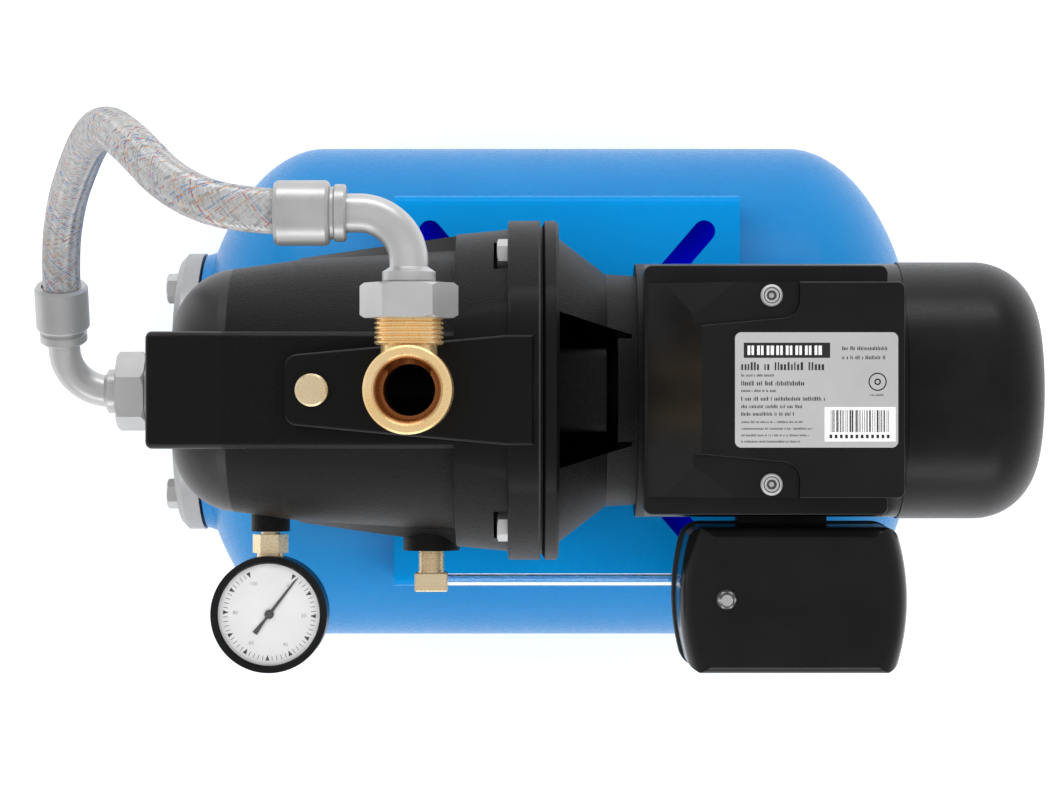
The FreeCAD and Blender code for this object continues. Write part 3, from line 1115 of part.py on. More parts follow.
def priming_plug():
    head = z_turned([(PAD_TOP, 0), (PAD_TOP, 8), (PAD_TOP + 5.5, 8), (PAD_TOP + 6.5, 7), (PAD_TOP + 6.5, 0)],
                    PLUG_X, 0)
    return fused([head, cylinder(6.5, (PLUG_X, 0, PAD_TOP - 16), Z_AXIS, 16)])


NODES = {
    "tank_shell": tank_shell,
    "tank_bladder": tank_bladder,
    "tank_flange": tank_flange,
    "tank_air_valve": tank_air_valve,
    "air_valve_cap": air_valve_cap,
    "tank_feet": tank_feet,
    "pump_platform": pump_platform,
    "mounting_bolts": mounting_bolts,
    "pump_casing": pump_casing,
    "drain_plug": drain_plug,
    "venturi_tube": venturi_tube,
    "suction_socket": suction_socket,
    "jet_nozzle": jet_nozzle,
    "diffuser": diffuser,
    "casing_gasket": casing_gasket,
    "flange_bolts": flange_bolts,
    "motor_bracket": motor_bracket,
    "seal_seat": seal_seat,
    "motor_shell": motor_shell,
    "stator_core": stator_core,
    "stator_winding": stator_winding,
    "rear_end_shield": lambda: screw_holes(rear_end_shield()),
    "bearing_outer_rings": bearing_outer_rings,
    "fan_cover": lambda: screw_holes(fan_cover()),
    "cover_screws": cover_screws,
    "motor_foot": motor_foot,
    "terminal_box_base": terminal_box_base,
    "terminal_box_cover": terminal_box_cover,
    "rating_label": rating_label,
    "capacitor": capacitor,
    "terminal_block": terminal_block,
    "brass_tee": brass_tee,
    "hose_nuts": hose_nuts,
    "upper_hose_elbow": upper_hose_elbow,
    "lower_hose_elbow": lower_hose_elbow,
    "hose_ferrules": hose_ferrules,
    "braided_hose": braided_hose,
    "gauge_case": gauge_case,
    "gauge_stem": gauge_stem,
    "gauge_dial": gauge_dial,
    "gauge_lens": gauge_lens,
    "gauge_bourdon_tube": gauge_bourdon_tube,
    "sense_elbow": sense_elbow,
    "sense_tube": sense_tube,
    "switch_base": switch_base,
    "switch_cover": switch_cover,
    "switch_nuts": switch_nuts,
    "switch_contact_block": switch_contact_block,
    "rotor_shaft": rotor_shaft,
    "rotor_core": rotor_core,
    "impeller": impeller,
    "seal_head": seal_head,
    "cooling_fan": cooling_fan,
    "bearing_inner_rings": bearing_inner_rings,
    "bearing_balls": bearing_balls,
    "gauge_pointer": gauge_pointer,
    "gauge_sector": gauge_sector,
    "priming_plug": priming_plug,
    "switch_lever": switch_lever,
    "switch_range_spring": switch_range_spring,
}

os.makedirs("parts", exist_ok=True)
for name, make in NODES.items():
    shape = make()
    if not shape.isValid() or shape.Volume <= 0:
        print("CHECK", name, "valid", shape.isValid(), "volume", round(shape.Volume, 1))
    shape.exportStep(f"parts/{name}.step")
print(len(NODES), "nodes written")
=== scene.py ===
"""Looks of the shallow well jet pump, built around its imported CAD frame.

Metres, +Z up, the same frame as the CAD model.
"""
import math
import random

import bpy
import numpy as np
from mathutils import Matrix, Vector


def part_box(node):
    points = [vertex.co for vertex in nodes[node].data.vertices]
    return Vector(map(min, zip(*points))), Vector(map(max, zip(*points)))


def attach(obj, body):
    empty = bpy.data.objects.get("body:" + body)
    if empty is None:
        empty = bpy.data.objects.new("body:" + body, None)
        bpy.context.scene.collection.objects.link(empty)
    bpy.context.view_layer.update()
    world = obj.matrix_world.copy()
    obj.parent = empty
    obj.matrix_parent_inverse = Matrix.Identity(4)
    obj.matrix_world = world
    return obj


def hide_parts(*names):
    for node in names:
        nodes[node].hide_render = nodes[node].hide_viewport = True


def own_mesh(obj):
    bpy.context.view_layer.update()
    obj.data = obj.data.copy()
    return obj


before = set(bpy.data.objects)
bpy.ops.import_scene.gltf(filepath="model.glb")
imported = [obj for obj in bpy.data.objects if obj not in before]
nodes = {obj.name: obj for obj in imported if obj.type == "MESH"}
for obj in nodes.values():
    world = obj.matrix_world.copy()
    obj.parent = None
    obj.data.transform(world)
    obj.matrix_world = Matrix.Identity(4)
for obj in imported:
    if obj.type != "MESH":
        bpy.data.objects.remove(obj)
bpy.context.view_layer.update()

MM = 0.001                # part.py's lengths are in millimetres

# ---- camera, floor and light -----------------------------------------------
CAMERA_AT = (-18.3, -3.4, 2100.0)     # millimetres; it looks straight down
CAMERA_LENS = 113.1
SENSOR_WIDTH = 36.0
FAR_CLIP = 20.0
SKY = [(0.0, (0.70, 0.70, 0.72)), (0.4, (0.52, 0.52, 0.53)), (0.95, (0.40, 0.40, 0.41))]
FLOOR_HALF = 4.0
FLOOR_GLOW = 0.35


def make_camera():
    data = bpy.data.cameras.new("camera")
    data.lens = CAMERA_LENS
    data.sensor_width = SENSOR_WIDTH
    data.clip_end = FAR_CLIP
    camera = bpy.data.objects.new("camera", data)
    camera.location = [v * MM for v in CAMERA_AT]
    bpy.context.scene.collection.objects.link(camera)
    bpy.context.scene.camera = camera


def area_light(name, at, aim, size, power, in_gloss=True, on_matt=True):
    """A rectangular lamp, in metres, which may be left out of reflections or of matt shading."""
    data = bpy.data.lights.new(name, "AREA")
    data.shape = "RECTANGLE"
    data.size, data.size_y = size
    data.energy = power
    light = bpy.data.objects.new(name, data)
    light.location = at
    light.rotation_euler = (Vector(aim) - Vector(at)).to_track_quat("-Z", "Y").to_euler()
    light.visible_glossy = in_gloss
    light.visible_diffuse = on_matt
    bpy.context.scene.collection.objects.link(light)


def fill_ramp(ramp, stops):
    """Give a new colour ramp these stops, each a position and a colour."""
    for position, _ in stops[1:-1]:
        ramp.elements.new(position)
    for element, (position, colour) in zip(ramp.elements, stops):
        element.position = position
        element.color = (*colour, 1)


def make_world():
    """Bright near the horizon and dimmer overhead, so upper faces stay dark and edges catch light."""
    world = bpy.data.worlds.new("studio")
    bpy.context.scene.world = world
    world.use_nodes = True
    tree = world.node_tree
    back = tree.nodes["Background"]
    coords = tree.nodes.new("ShaderNodeTexCoord")
    split = tree.nodes.new("ShaderNodeSeparateXYZ")
    ramp = tree.nodes.new("ShaderNodeValToRGB")
    fill_ramp(ramp.color_ramp, SKY)
    tree.links.new(coords.outputs["Generated"], split.inputs[0])
    tree.links.new(split.outputs["Z"], ramp.inputs[0])
    tree.links.new(ramp.outputs[0], back.inputs["Color"])
    back.inputs["Strength"].default_value = 1.0


def make_floor():
    mesh = bpy.data.meshes.new("floor")
    corners = [(-1, -1), (1, -1), (1, 1), (-1, 1)]
    mesh.from_pydata([(x * FLOOR_HALF, y * FLOOR_HALF, 0) for x, y in corners], [], [(0, 1, 2, 3)])
    floor = bpy.data.objects.new("floor", mesh)
    bpy.context.scene.collection.objects.link(floor)
    paint = bpy.data.materials.new("floor_paint")
    paint.use_nodes = True
    shader = paint.node_tree.nodes["Principled BSDF"]
    shader.inputs["Base Color"].default_value = (0.9, 0.9, 0.9, 1)
    shader.inputs["Roughness"].default_value = 0.9
    shader.inputs["Specular IOR Level"].default_value = 0.0
    shader.inputs["Emission Color"].default_value = (1, 1, 1, 1)
    shader.inputs["Emission Strength"].default_value = FLOOR_GLOW
    mesh.materials.append(paint)


# ---- materials ---------------------------------------------------------------
# edges in metres, each between the two places where one finish, or a painted shade or painted highlight,
# gives way to the next
NOSE_EDGE = (-0.168, -0.1672)         # X
SNOUT_EDGE = (0.4735, 0.4765)         # Z
# where the painted highlight on the nose's sides gives way to the dark snout top
NOSE_HIGHLIGHT_EDGE = (0.4745, 0.4765)    # Z
# where the painted shade inside the tee's port ends
PORT_SHADE_EDGE = (0.0157, 0.0162)          # from the tee's upright axis
# edges of the painted shade on the tank under the pump platform
PLATFORM_SHADE_X_EDGE = (0.083, 0.091)      # from the platform's middle
PLATFORM_SHADE_Y_EDGE = (0.094, 0.100)
PLATFORM_SHADE_Z_EDGE = (0.235, 0.245)
PLATFORM_MIDDLE_X = 0.00445
TEE_AXIS = (-0.0738, 0.0, 0.0)
BOX_SCREW = (0.1004, 0.0455, 0.0)     # and its mirror image across the middle
SCREW_HEAD_R = 0.006
# tone of a box screw's head from its middle outwards: pin, star socket, face, groove, rim; the dark star
# socket and groove are painted shade in these recesses, and the lighter rim is a painted highlight
SCREW_PAINTED_TONES = [(0.0, 0.42), (0.19, 0.42), (0.24, 0.07), (0.38, 0.09), (0.43, 0.48), (0.56, 0.48),
               (0.60, 0.04), (0.65, 0.04), (0.69, 0.58), (1.0, 0.48)]


class Nodes:
    """Short hand for building one material's nodes."""

    def __init__(self, name):
        self.material = bpy.data.materials.new(name)
        self.material.use_nodes = True
        self.tree = self.material.node_tree
        self.shader = self.tree.nodes["Principled BSDF"]
        self.place = self.add("ShaderNodeTexCoord").outputs["Object"]

    def add(self, kind, **settings):
        node = self.tree.nodes.new(kind)
        for key, value in settings.items():
            setattr(node, key, value)
        return node

    def put(self, socket, value):
        """Link a node's output to the socket, or set the socket to a plain value."""
        if hasattr(value, "is_output"):
            self.tree.links.new(value, socket)
        else:
            socket.default_value = value

    def noise(self, per_metre, detail=2.0, rough=0.5, place=None):
        node = self.add("ShaderNodeTexNoise")
        self.put(node.inputs["Vector"], place or self.place)
        node.inputs["Scale"].default_value = per_metre
        node.inputs["Detail"].default_value = detail
        node.inputs["Roughness"].default_value = rough
        return node.outputs["Fac"]

    def stretched(self, scales):
        """Object coordinates scaled per axis, for brushed or streaky noise."""
        node = self.add("ShaderNodeMapping")
        self.put(node.inputs["Vector"], self.place)
        node.inputs["Scale"].default_value = scales
        return node.outputs["Vector"]

    def ramp(self, value, stops):
        node = self.add("ShaderNodeValToRGB")
        self.put(node.inputs[0], value)
        fill_ramp(node.color_ramp, stops)
        return node.outputs[0]

    def split(self):
        """The three object coordinates of a point, by name."""
        node = self.add("ShaderNodeSeparateXYZ")
        self.put(node.inputs[0], self.place)
        return node.outputs

    def mix(self, factor, first, second):
        node = self.add("ShaderNodeMix", data_type="RGBA")
        self.put(node.inputs["Factor"], factor)
        self.put(node.inputs[6], first)
        self.put(node.inputs[7], second)
        return node.outputs[2]

    def distance(self, place, point):
        node = self.add("ShaderNodeVectorMath", operation="DISTANCE")
        self.put(node.inputs[0], place)
        self.put(node.inputs[1], point)
        return node.outputs["Value"]

    def mapped(self, value, low, high, to_low, to_high):
        node = self.add("ShaderNodeMapRange")
        self.put(node.inputs["Value"], value)
        sockets = ("From Min", "From Max", "To Min", "To Max")
        for key, number in zip(sockets, (low, high, to_low, to_high)):
            node.inputs[key].default_value = number
        return node.outputs["Result"]

    def math(self, operation, a, b):
        node = self.add("ShaderNodeMath", operation=operation)
        self.put(node.inputs[0], a)
        self.put(node.inputs[1], b)
        return node.outputs[0]

    def bump(self, height, strength, distance, normal=None):
        node = self.add("ShaderNodeBump")
        self.put(node.inputs["Height"], height)
        self.put(node.inputs["Strength"], strength)
        node.inputs["Distance"].default_value = distance
        if normal is not None:
            self.put(node.inputs["Normal"], normal)
        return node.outputs["Normal"]


def grey(value):
    return (value, value, value)


def finish_material(name, dark, light, rough, metallic=0.0, specular=0.5, cloud=25.0, fine=900.0,
                    bump=0.05, bump_size=0.0002, stretch=None):
    """Two tones of colour in soft clouds, roughness from finer noise and a low bump."""
    n = Nodes(name)
    clouds = n.noise(cloud, 3.0, 0.6)
    n.put(n.shader.inputs["Base Color"], n.ramp(clouds, [(0.3, dark), (0.7, light)]))
    place = n.stretched(stretch) if stretch else n.place
    grain = n.noise(fine, 4.0, 0.6, place)
    n.put(n.shader.inputs["Roughness"], n.mapped(grain, 0.3, 0.7, rough[0], rough[1]))
    n.put(n.shader.inputs["Normal"], n.bump(grain, bump, bump_size))
    n.shader.inputs["Metallic"].default_value = metallic
    n.shader.inputs["Specular IOR Level"].default_value = specular
    return n.material


def cast_iron(name):
    """Black painted casting: sand-cast skin on the body, smooth on the snout, pad and nose; the nose's sides
    below the snout top are painted a lighter grey, a painted highlight.
    """
    n = Nodes(name)
    at = n.split()
    grain = n.noise(1250.0, 3.0, 0.6)
    lumps = n.noise(45.0, 2.0, 0.5)
    below_top = n.mapped(at["Z"], *SNOUT_EDGE, 1.0, 0.05)
    behind_nose = n.mapped(at["X"], *NOSE_EDGE, 0.06, 1.0)
    mask = n.math("MULTIPLY", below_top, behind_nose)
    skin = n.ramp(grain, [(0.35, grey(0.002)), (0.75, grey(0.006))])
    # painted highlight: the nose's sides below the snout top are painted lighter grey, while its top stays
    # dark
    nose = n.mapped(at["Z"], *NOSE_HIGHLIGHT_EDGE, 0.035, 0.004)
    n.put(n.shader.inputs["Base Color"], n.mix(n.mapped(at["X"], *NOSE_EDGE, 0.0, 1.0), nose, skin))
    n.put(n.shader.inputs["Roughness"], n.mapped(mask, 0.0, 1.0, 0.36, 0.42))
    low = n.bump(lumps, 0.06, 0.0006)
    n.put(n.shader.inputs["Normal"], n.bump(grain, mask, 0.0005, low))
    n.shader.inputs["Specular IOR Level"].default_value = 0.17
    return n.material


def tank_material():
    """Blue enamel, painted a deeper blue on the part of the tank that the pump platform covers: painted
    shade under the platform.
    """
    n = Nodes("tank_enamel")
    at = n.split()
    along = n.math("ABSOLUTE", n.math("SUBTRACT", at["X"], PLATFORM_MIDDLE_X), 0.0)
    across = n.math("ABSOLUTE", at["Y"], 0.0)
    under = n.math("MULTIPLY", n.mapped(along, *PLATFORM_SHADE_X_EDGE, 1.0, 0.0),
                   n.mapped(across, *PLATFORM_SHADE_Y_EDGE, 1.0, 0.0))
    painted_shade_under_platform = n.math("MULTIPLY", under, n.mapped(at["Z"], *PLATFORM_SHADE_Z_EDGE, 0.0, 1.0))
    clouds = n.ramp(n.noise(12.0, 3.0, 0.6), [(0.3, (0.02, 0.265, 0.65)), (0.7, (0.025, 0.295, 0.70))])
    # the deep blue under the platform is painted shade
    n.put(n.shader.inputs["Base Color"], n.mix(painted_shade_under_platform, clouds, (0.0, 0.004, 0.93, 1)))
    grain = n.noise(260.0, 4.0, 0.6)
    n.put(n.shader.inputs["Roughness"], n.mapped(grain, 0.3, 0.7, 0.22, 0.32))
    n.put(n.shader.inputs["Normal"], n.bump(grain, 0.04, 0.0003))
    n.shader.inputs["Specular IOR Level"].default_value = 0.05
    return n.material


def screw_material():
    """Zinc, with painted shade in the groove and the star socket of the two box screws, and a painted
    highlight on their rims.
    """
    n = Nodes("screw_zinc")
    at = n.split()
    flat = n.add("ShaderNodeCombineXYZ")
    n.put(flat.inputs["X"], at["X"])
    n.put(flat.inputs["Y"], n.math("ABSOLUTE", at["Y"], 0.0))
    reach = n.mapped(n.distance(flat.outputs["Vector"], BOX_SCREW), 0.0, SCREW_HEAD_R, 0.0, 1.0)
    # painted shade darkens the socket and the groove, and a painted highlight lightens the rim
    painted_tones = n.ramp(reach, [(position, grey(tone)) for position, tone in SCREW_PAINTED_TONES])
    n.put(n.shader.inputs["Base Color"], painted_tones)
    grain = n.noise(900.0, 3.0, 0.5)
    n.put(n.shader.inputs["Roughness"], n.mapped(grain, 0.3, 0.7, 0.30, 0.42))
    n.put(n.shader.inputs["Normal"], n.bump(grain, 0.02, 0.0002))
    n.shader.inputs["Metallic"].default_value = 0.5
    return n.material


def clear_material(name, tint, rough, ior):
    """Clear glass or plastic with a faint haze."""
    n = Nodes(name)
    haze = n.noise(300.0, 2.0, 0.5)
    n.put(n.shader.inputs["Roughness"], n.mapped(haze, 0.3, 0.7, rough[0], rough[1]))
    n.shader.inputs["Base Color"].default_value = (*tint, 1)
    n.shader.inputs["Transmission Weight"].default_value = 1.0
    n.shader.inputs["IOR"].default_value = ior
    return n.material


def brass_material():
    """Yellow brass, painted redder and darker inside the tee's open port: painted shade in the bore."""
    n = Nodes("brass_finish")
    clouds = n.noise(45.0, 4.0, 0.6)
    gold = n.ramp(clouds, [(0.3, (0.94, 0.62, 0.26)), (0.55, (0.97, 0.70, 0.35)),
                           (0.8, (1.0, 0.80, 0.50))])
    reach = n.distance(n.stretched((1.0, 1.0, 0.0)), TEE_AXIS)
    outside = n.mapped(reach, *PORT_SHADE_EDGE, 0.0, 1.0)
    # the dark red-brown inside the port is painted shade
    n.put(n.shader.inputs["Base Color"], n.mix(outside, (0.42, 0.15, 0.04, 1), gold))
    grain = n.noise(700.0, 3.0, 0.5)
    n.put(n.shader.inputs["Roughness"], n.mapped(grain, 0.3, 0.7, 0.22, 0.30))
    n.put(n.shader.inputs["Normal"], n.bump(grain, 0.004, 0.0002))
    n.shader.inputs["Metallic"].default_value = 0.7
    return n.material


LOOKS = {
    "tank_blue": finish_material("blue_enamel", (0.0, 0.30, 0.78), (0.0, 0.33, 0.83), (0.22, 0.32),
                                 specular=0.05, cloud=12.0, fine=260.0, bump=0.04, bump_size=0.0003),
    "cast_black": cast_iron("cast_black_paint"),
    "motor_black": finish_material("motor_black_paint", grey(0.004), grey(0.008), (0.28, 0.4), specular=0.2,
                                   cloud=30.0, fine=650.0, bump=0.06),
    "gloss_black": finish_material("moulded_gloss_black", grey(0.005), grey(0.008), (0.16, 0.24),
                                   specular=0.22, cloud=20.0, fine=1200.0, bump=0.02),
    "matte_black": finish_material("moulded_matt_black", grey(0.009), grey(0.016), (0.45, 0.6), specular=0.3,
                                   cloud=40.0, fine=1500.0, bump=0.15),
    "zinc_steel": finish_material("zinc_plate", grey(0.49), grey(0.56), (0.30, 0.42), metallic=0.6,
                                  cloud=35.0, fine=700.0, bump=0.02),
    "bright_steel": finish_material("bright_steel", grey(0.66), grey(0.76), (0.18, 0.3), metallic=0.85,
                                    cloud=80.0, fine=1400.0, bump=0.03),
    "electrical_steel": finish_material("laminated_steel", grey(0.28), grey(0.36), (0.35, 0.5), metallic=1.0,
                                        cloud=60.0, fine=2000.0, bump=0.3, stretch=(1.0, 0.02, 0.02)),
    "brass": brass_material(),
    "copper_winding": finish_material("enamelled_copper", (0.45, 0.16, 0.06), (0.62, 0.24, 0.10),
                                      (0.25, 0.4), metallic=0.9, cloud=90.0, fine=1500.0, bump=0.5,
                                      stretch=(1.0, 0.1, 0.1)),
    "hose_braid": finish_material("hose_liner", grey(0.14), grey(0.20), (0.5, 0.6)),
    "black_rubber": finish_material("black_rubber", grey(0.012), grey(0.02), (0.6, 0.75), cloud=60.0,
                                    fine=1200.0, bump=0.12),
    "seal_ceramic": finish_material("seal_ceramic", grey(0.72), grey(0.82), (0.2, 0.3), cloud=60.0,
                                    fine=1500.0, bump=0.03),
    "label_silver": finish_material("label_film", grey(0.36), grey(0.40), (0.4, 0.5), metallic=0.1,
                                    cloud=30.0, fine=900.0, bump=0.01),
    "dial_white": finish_material("dial_paint", grey(0.62), grey(0.67), (0.4, 0.5), cloud=60.0, fine=1500.0,
                                  bump=0.02),
    "pointer_black": finish_material("pointer_black", grey(0.008), grey(0.012), (0.4, 0.5)),
    "gauge_glass": clear_material("gauge_glass", (1.0, 1.0, 1.0), (0.0, 0.01), 1.12),
    "clear_tube": clear_material("clear_tube", (0.93, 0.97, 1.0), (0.04, 0.12), 1.4),
}
PALE_BRASS = finish_material("pale_brass", (0.78, 0.61, 0.37), (0.86, 0.72, 0.49), (0.24, 0.34),
                             metallic=0.7, cloud=45.0, fine=700.0, bump=0.01)
# nodes whose finish differs a little from the rest of their slot; the tank shell's and the box screws' looks
# also carry painted shade
NODE_LOOKS = {
    "tank_shell": tank_material(),
    "tank_flange": finish_material("flange_zinc", grey(0.34), grey(0.40), (0.34, 0.46), metallic=0.6,
                                   cloud=30.0, fine=600.0, bump=0.03),
    "hose_ferrules": finish_material("ferrule_zinc", grey(0.41), grey(0.48), (0.30, 0.42), metallic=0.6,
                                     cloud=35.0, fine=700.0, bump=0.02),
    "cover_screws": screw_material(),
    "priming_plug": PALE_BRASS,
    "sense_elbow": PALE_BRASS,
    "gauge_stem": PALE_BRASS,
}
FAINT_INK = finish_material("faint_ink", grey(0.16), grey(0.22), (0.4, 0.5))
PATCH_WHITE = finish_material("patch_white", grey(0.70), grey(0.78), (0.4, 0.5), cloud=60.0)


def dress_nodes():
    """Give every CAD node its own look or the look of its material slot."""
    for name, node in nodes.items():
        for i, used in enumerate(node.data.materials):
            node.data.materials[i] = NODE_LOOKS.get(name) or LOOKS[used.name.split(".")[0]]


# ---- mesh helpers ------------------------------------------------------------
def new_piece(name, points, faces, looks, smooth=True, picks=None):
    """A mesh that rides on the pump; picks says which look each face has."""
    mesh = bpy.data.meshes.new(name)
    mesh.from_pydata(np.asarray(points).tolist(), [], faces)
    for look in looks:
        mesh.materials.append(look)
    if picks is not None:
        mesh.polygons.foreach_set("material_index", picks)
    mesh.polygons.foreach_set("use_smooth", [smooth] * len(mesh.polygons))
    mesh.update()
    piece = bpy.data.objects.new(name, mesh)
    bpy.context.scene.collection.objects.link(piece)
    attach(piece, "pump_frame")
    return piece


def mesh_of(data):
    """Points and faces that Blender makes from a curve or a text."""
    holder = bpy.data.objects.new(data.name, data)
    bpy.context.scene.collection.objects.link(holder)
    bpy.context.view_layer.update()
    mesh = bpy.data.meshes.new_from_object(holder)
    points = [tuple(v.co) for v in mesh.vertices]
    faces = [tuple(face.vertices) for face in mesh.polygons]
    bpy.data.objects.remove(holder)
    bpy.data.meshes.remove(mesh)
    return points, faces


def tube_faces(rings, sides):
    """Faces of a closed tube whose points are listed ring by ring."""
    faces = []
    for i in range(rings - 1):
        for k in range(sides):
            j = (k + 1) % sides
            faces.append((i * sides + k, i * sides + j, (i + 1) * sides + j, (i + 1) * sides + k))
    faces.append(tuple(reversed(range(sides))))
    faces.append(tuple((rings - 1) * sides + k for k in range(sides)))
    return faces


# ---- braided hose ------------------------------------------------------------
# the same points as in part.py, from the upper ferrule down to the lower one
HOSE_ROUTE = [
    (-110.0, 84.6, 522.0),
    (-154.0, 84.6, 522.0),
    (-189.5, 98.0, 497.0),
    (-214.0, 123.0, 459.0),
    (-234.5, 137.5, 400.0),
    (-250.5, 134.5, 340.0),
    (-265.0, 123.0, 281.0),
    (-279.5, 107.0, 223.0),
    (-288.3, 77.0, 187.11),
    (-288.3, 36.0, 170.545),
]
HOSE_R = 11.2
CARRIERS = 24             # in each direction, a multiple of four so that the weave closes
WIRES = 4                 # in each carrier
WIRE_R = 0.21
LAY_LENGTH = 60.0         # one turn of a carrier
# in wire radii
WIRE_GAP = 2.1            # between the middles of neighbouring wires
WIRE_WAVE = 0.8           # rise of a wire over those that it crosses
WIRE_CORNER = (1.3, 0.6)  # a lower corner of its section, sideways and down
BRAID_DEPTH = 2.6
LINER_DEPTH = 4.2
LINER_RINGS, LINER_SIDES = 160, 24


def centreline():
    """Points of the route's NURBS line, in metres."""
    data = bpy.data.curves.new("hose_route", "CURVE")
    data.dimensions = "3D"
    data.resolution_u = 40
    spline = data.splines.new("NURBS")
    spline.points.add(len(HOSE_ROUTE) - 1)
    for point, place in zip(spline.points, HOSE_ROUTE):
        point.co = (place[0] * MM, place[1] * MM, place[2] * MM, 1.0)
    spline.order_u = 3
    spline.use_endpoint_u = True
    return np.array(mesh_of(data)[0])


def evenly(line, count):
    """Resample a polyline and carry a frame along it without twist."""
    steps = np.linalg.norm(np.diff(line, axis=0), axis=1)
    along = np.concatenate([[0], np.cumsum(steps)])
    at = np.linspace(0, along[-1], count)
    points = np.stack([np.interp(at, along, line[:, i]) for i in range(3)], 1)
    tangent = np.gradient(points, axis=0)
    tangent /= np.linalg.norm(tangent, axis=1)[:, None]
    side = np.zeros_like(points)
    first = np.cross(tangent[0], (0, 0, 1.0))
    side[0] = first / np.linalg.norm(first)
    for i in range(1, count):
        s = side[i - 1] - tangent[i] * (side[i - 1] @ tangent[i])
        side[i] = s / np.linalg.norm(s)
    return points, side, np.cross(tangent, side)


def hose_wires(line):
    """Every wire of the braid as a thin three-sided tube that goes over two carriers and under two."""
    length = np.linalg.norm(np.diff(line, axis=0), axis=1).sum()
    count = int(length / (LAY_LENGTH * MM) * 2 * CARRIERS) + 1
    points, side, up = evenly(line, count)
    crossing = np.arange(count)
    size = WIRE_R * MM
    base_r = (HOSE_R - BRAID_DEPTH * WIRE_R) * MM
    lay_angle = math.atan2(2 * math.pi * HOSE_R, LAY_LENGTH)
    spread = WIRE_GAP * WIRE_R / math.cos(lay_angle) / HOSE_R
    wide, deep = [share * size for share in WIRE_CORNER]
    verts, faces, picks = [], [], []
    draw = random.Random(7)
    for direction in (1, -1):
        for carrier in range(CARRIERS):
            angle = 2 * math.pi * (carrier / CARRIERS + direction * crossing / (2 * CARRIERS))
            over = np.where((2 * carrier + direction * crossing) % 4 < 2, 1, -1) * direction
            for wire in range(WIRES):
                a = angle + (wire - (WIRES - 1) / 2) * spread
                out = side * np.cos(a)[:, None] + up * np.sin(a)[:, None]
                along_ring = up * np.cos(a)[:, None] - side * np.sin(a)[:, None]
                centre = points + out * (base_r + WIRE_WAVE * size * over)[:, None]
                corners = [centre + out * size, centre + along_ring * wide - out * deep,
                           centre - along_ring * wide - out * deep]
                first = len(verts) * 3 * count
                verts.append(np.stack(corners, 1).reshape(-1, 3))
                row = crossing[:-1, None] * 3
                k = np.arange(3)[None, :]
                quads = np.stack([row + k, row + (k + 1) % 3, row + 3 + (k + 1) % 3, row + 3 + k], -1)
                faces.append(quads.reshape(-1, 4) + first)
                picks.append(np.full(3 * (count - 1), wire_colour(draw)))
    return np.concatenate(verts), np.concatenate(faces), np.concatenate(picks)


WIRE_LOOKS = [
    finish_material("braid_silver", grey(0.62), grey(0.80), (0.3, 0.42), metallic=0.4, cloud=500.0),
    finish_material("braid_grey", grey(0.40), grey(0.56), (0.3, 0.45), metallic=0.4, cloud=500.0),
    finish_material("braid_dark", grey(0.05), grey(0.10), (0.4, 0.5), cloud=400.0),
    finish_material("braid_red", (0.50, 0.05, 0.05), (0.62, 0.10, 0.08), (0.35, 0.5), cloud=400.0),
    finish_material("braid_blue", (0.06, 0.22, 0.55), (0.10, 0.36, 0.70), (0.35, 0.5), cloud=400.0),
    finish_material("braid_orange", (0.75, 0.34, 0.08), (0.85, 0.48, 0.16), (0.35, 0.5), cloud=400.0),
]
WIRE_SHARES = [0.74, 0.90, 0.925, 0.955, 0.98, 1.0]     # of all wires, up to and with each look


def wire_colour(draw):
    value = draw.random()
    return next(i for i, share in enumerate(WIRE_SHARES) if value <= share)


def make_hose():
    line = centreline()
    verts, faces, picks = hose_wires(line)
    hose = new_piece("braided_hose_wires", verts, faces.tolist(), WIRE_LOOKS, picks=picks)
    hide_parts("braided_hose")
    liner = make_liner(line)


def make_liner(line):
    """Plain tube under the braid, seen through its gaps."""
    points, side, up = evenly(line, LINER_RINGS)
    radius = (HOSE_R - LINER_DEPTH * WIRE_R) * MM
    verts = []
    for i in range(LINER_RINGS):
        for k in range(LINER_SIDES):
            a = 2 * math.pi * k / LINER_SIDES
            verts.append(points[i] + (side[i] * math.cos(a) + up[i] * math.sin(a)) * radius)
    faces = tube_faces(LINER_RINGS, LINER_SIDES)
    return new_piece("hose_liner", verts, faces, [LOOKS["hose_braid"]])


# ---- range spring of the switch ------------------------------------------------
SPRING_WIRE = 1.05        # radius of its wire
SPRING_COILS = 5.5
SPRING_STEPS, SPRING_SIDES = 200, 10


def make_spring():
    """Wound spring that the tilting lever presses up against its nut."""
    low, high = [Vector(corner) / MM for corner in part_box("switch_range_spring")]
    centre_x, centre_y = (low.x + high.x) / 2, (low.y + high.y) / 2
    coil_r = (high.x - low.x) / 2 - SPRING_WIRE
    rise = high.z - low.z - 2 * SPRING_WIRE
    points = []
    for i in range(SPRING_STEPS + 1):
        turn = 2 * math.pi * SPRING_COILS * i / SPRING_STEPS
        z = low.z + SPRING_WIRE + rise * i / SPRING_STEPS
        for k in range(SPRING_SIDES):
            a = 2 * math.pi * k / SPRING_SIDES
            r = coil_r + SPRING_WIRE * math.cos(a)
            points.append(((centre_x + r * math.cos(turn)) * MM, (centre_y + r * math.sin(turn)) * MM,
                           (z + SPRING_WIRE * math.sin(a)) * MM))
    faces = tube_faces(SPRING_STEPS + 1, SPRING_SIDES)
    spring = new_piece("range_spring_coil", points, faces, [LOOKS["bright_steel"]])
    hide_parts("switch_range_spring")
    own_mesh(spring)


# ---- gauge marks and label print ----------------------------------------------
def polar(centre, r, degrees):
    angle = math.radians(degrees)
    return (centre[0] + r * math.cos(angle), centre[1] + r * math.sin(angle))


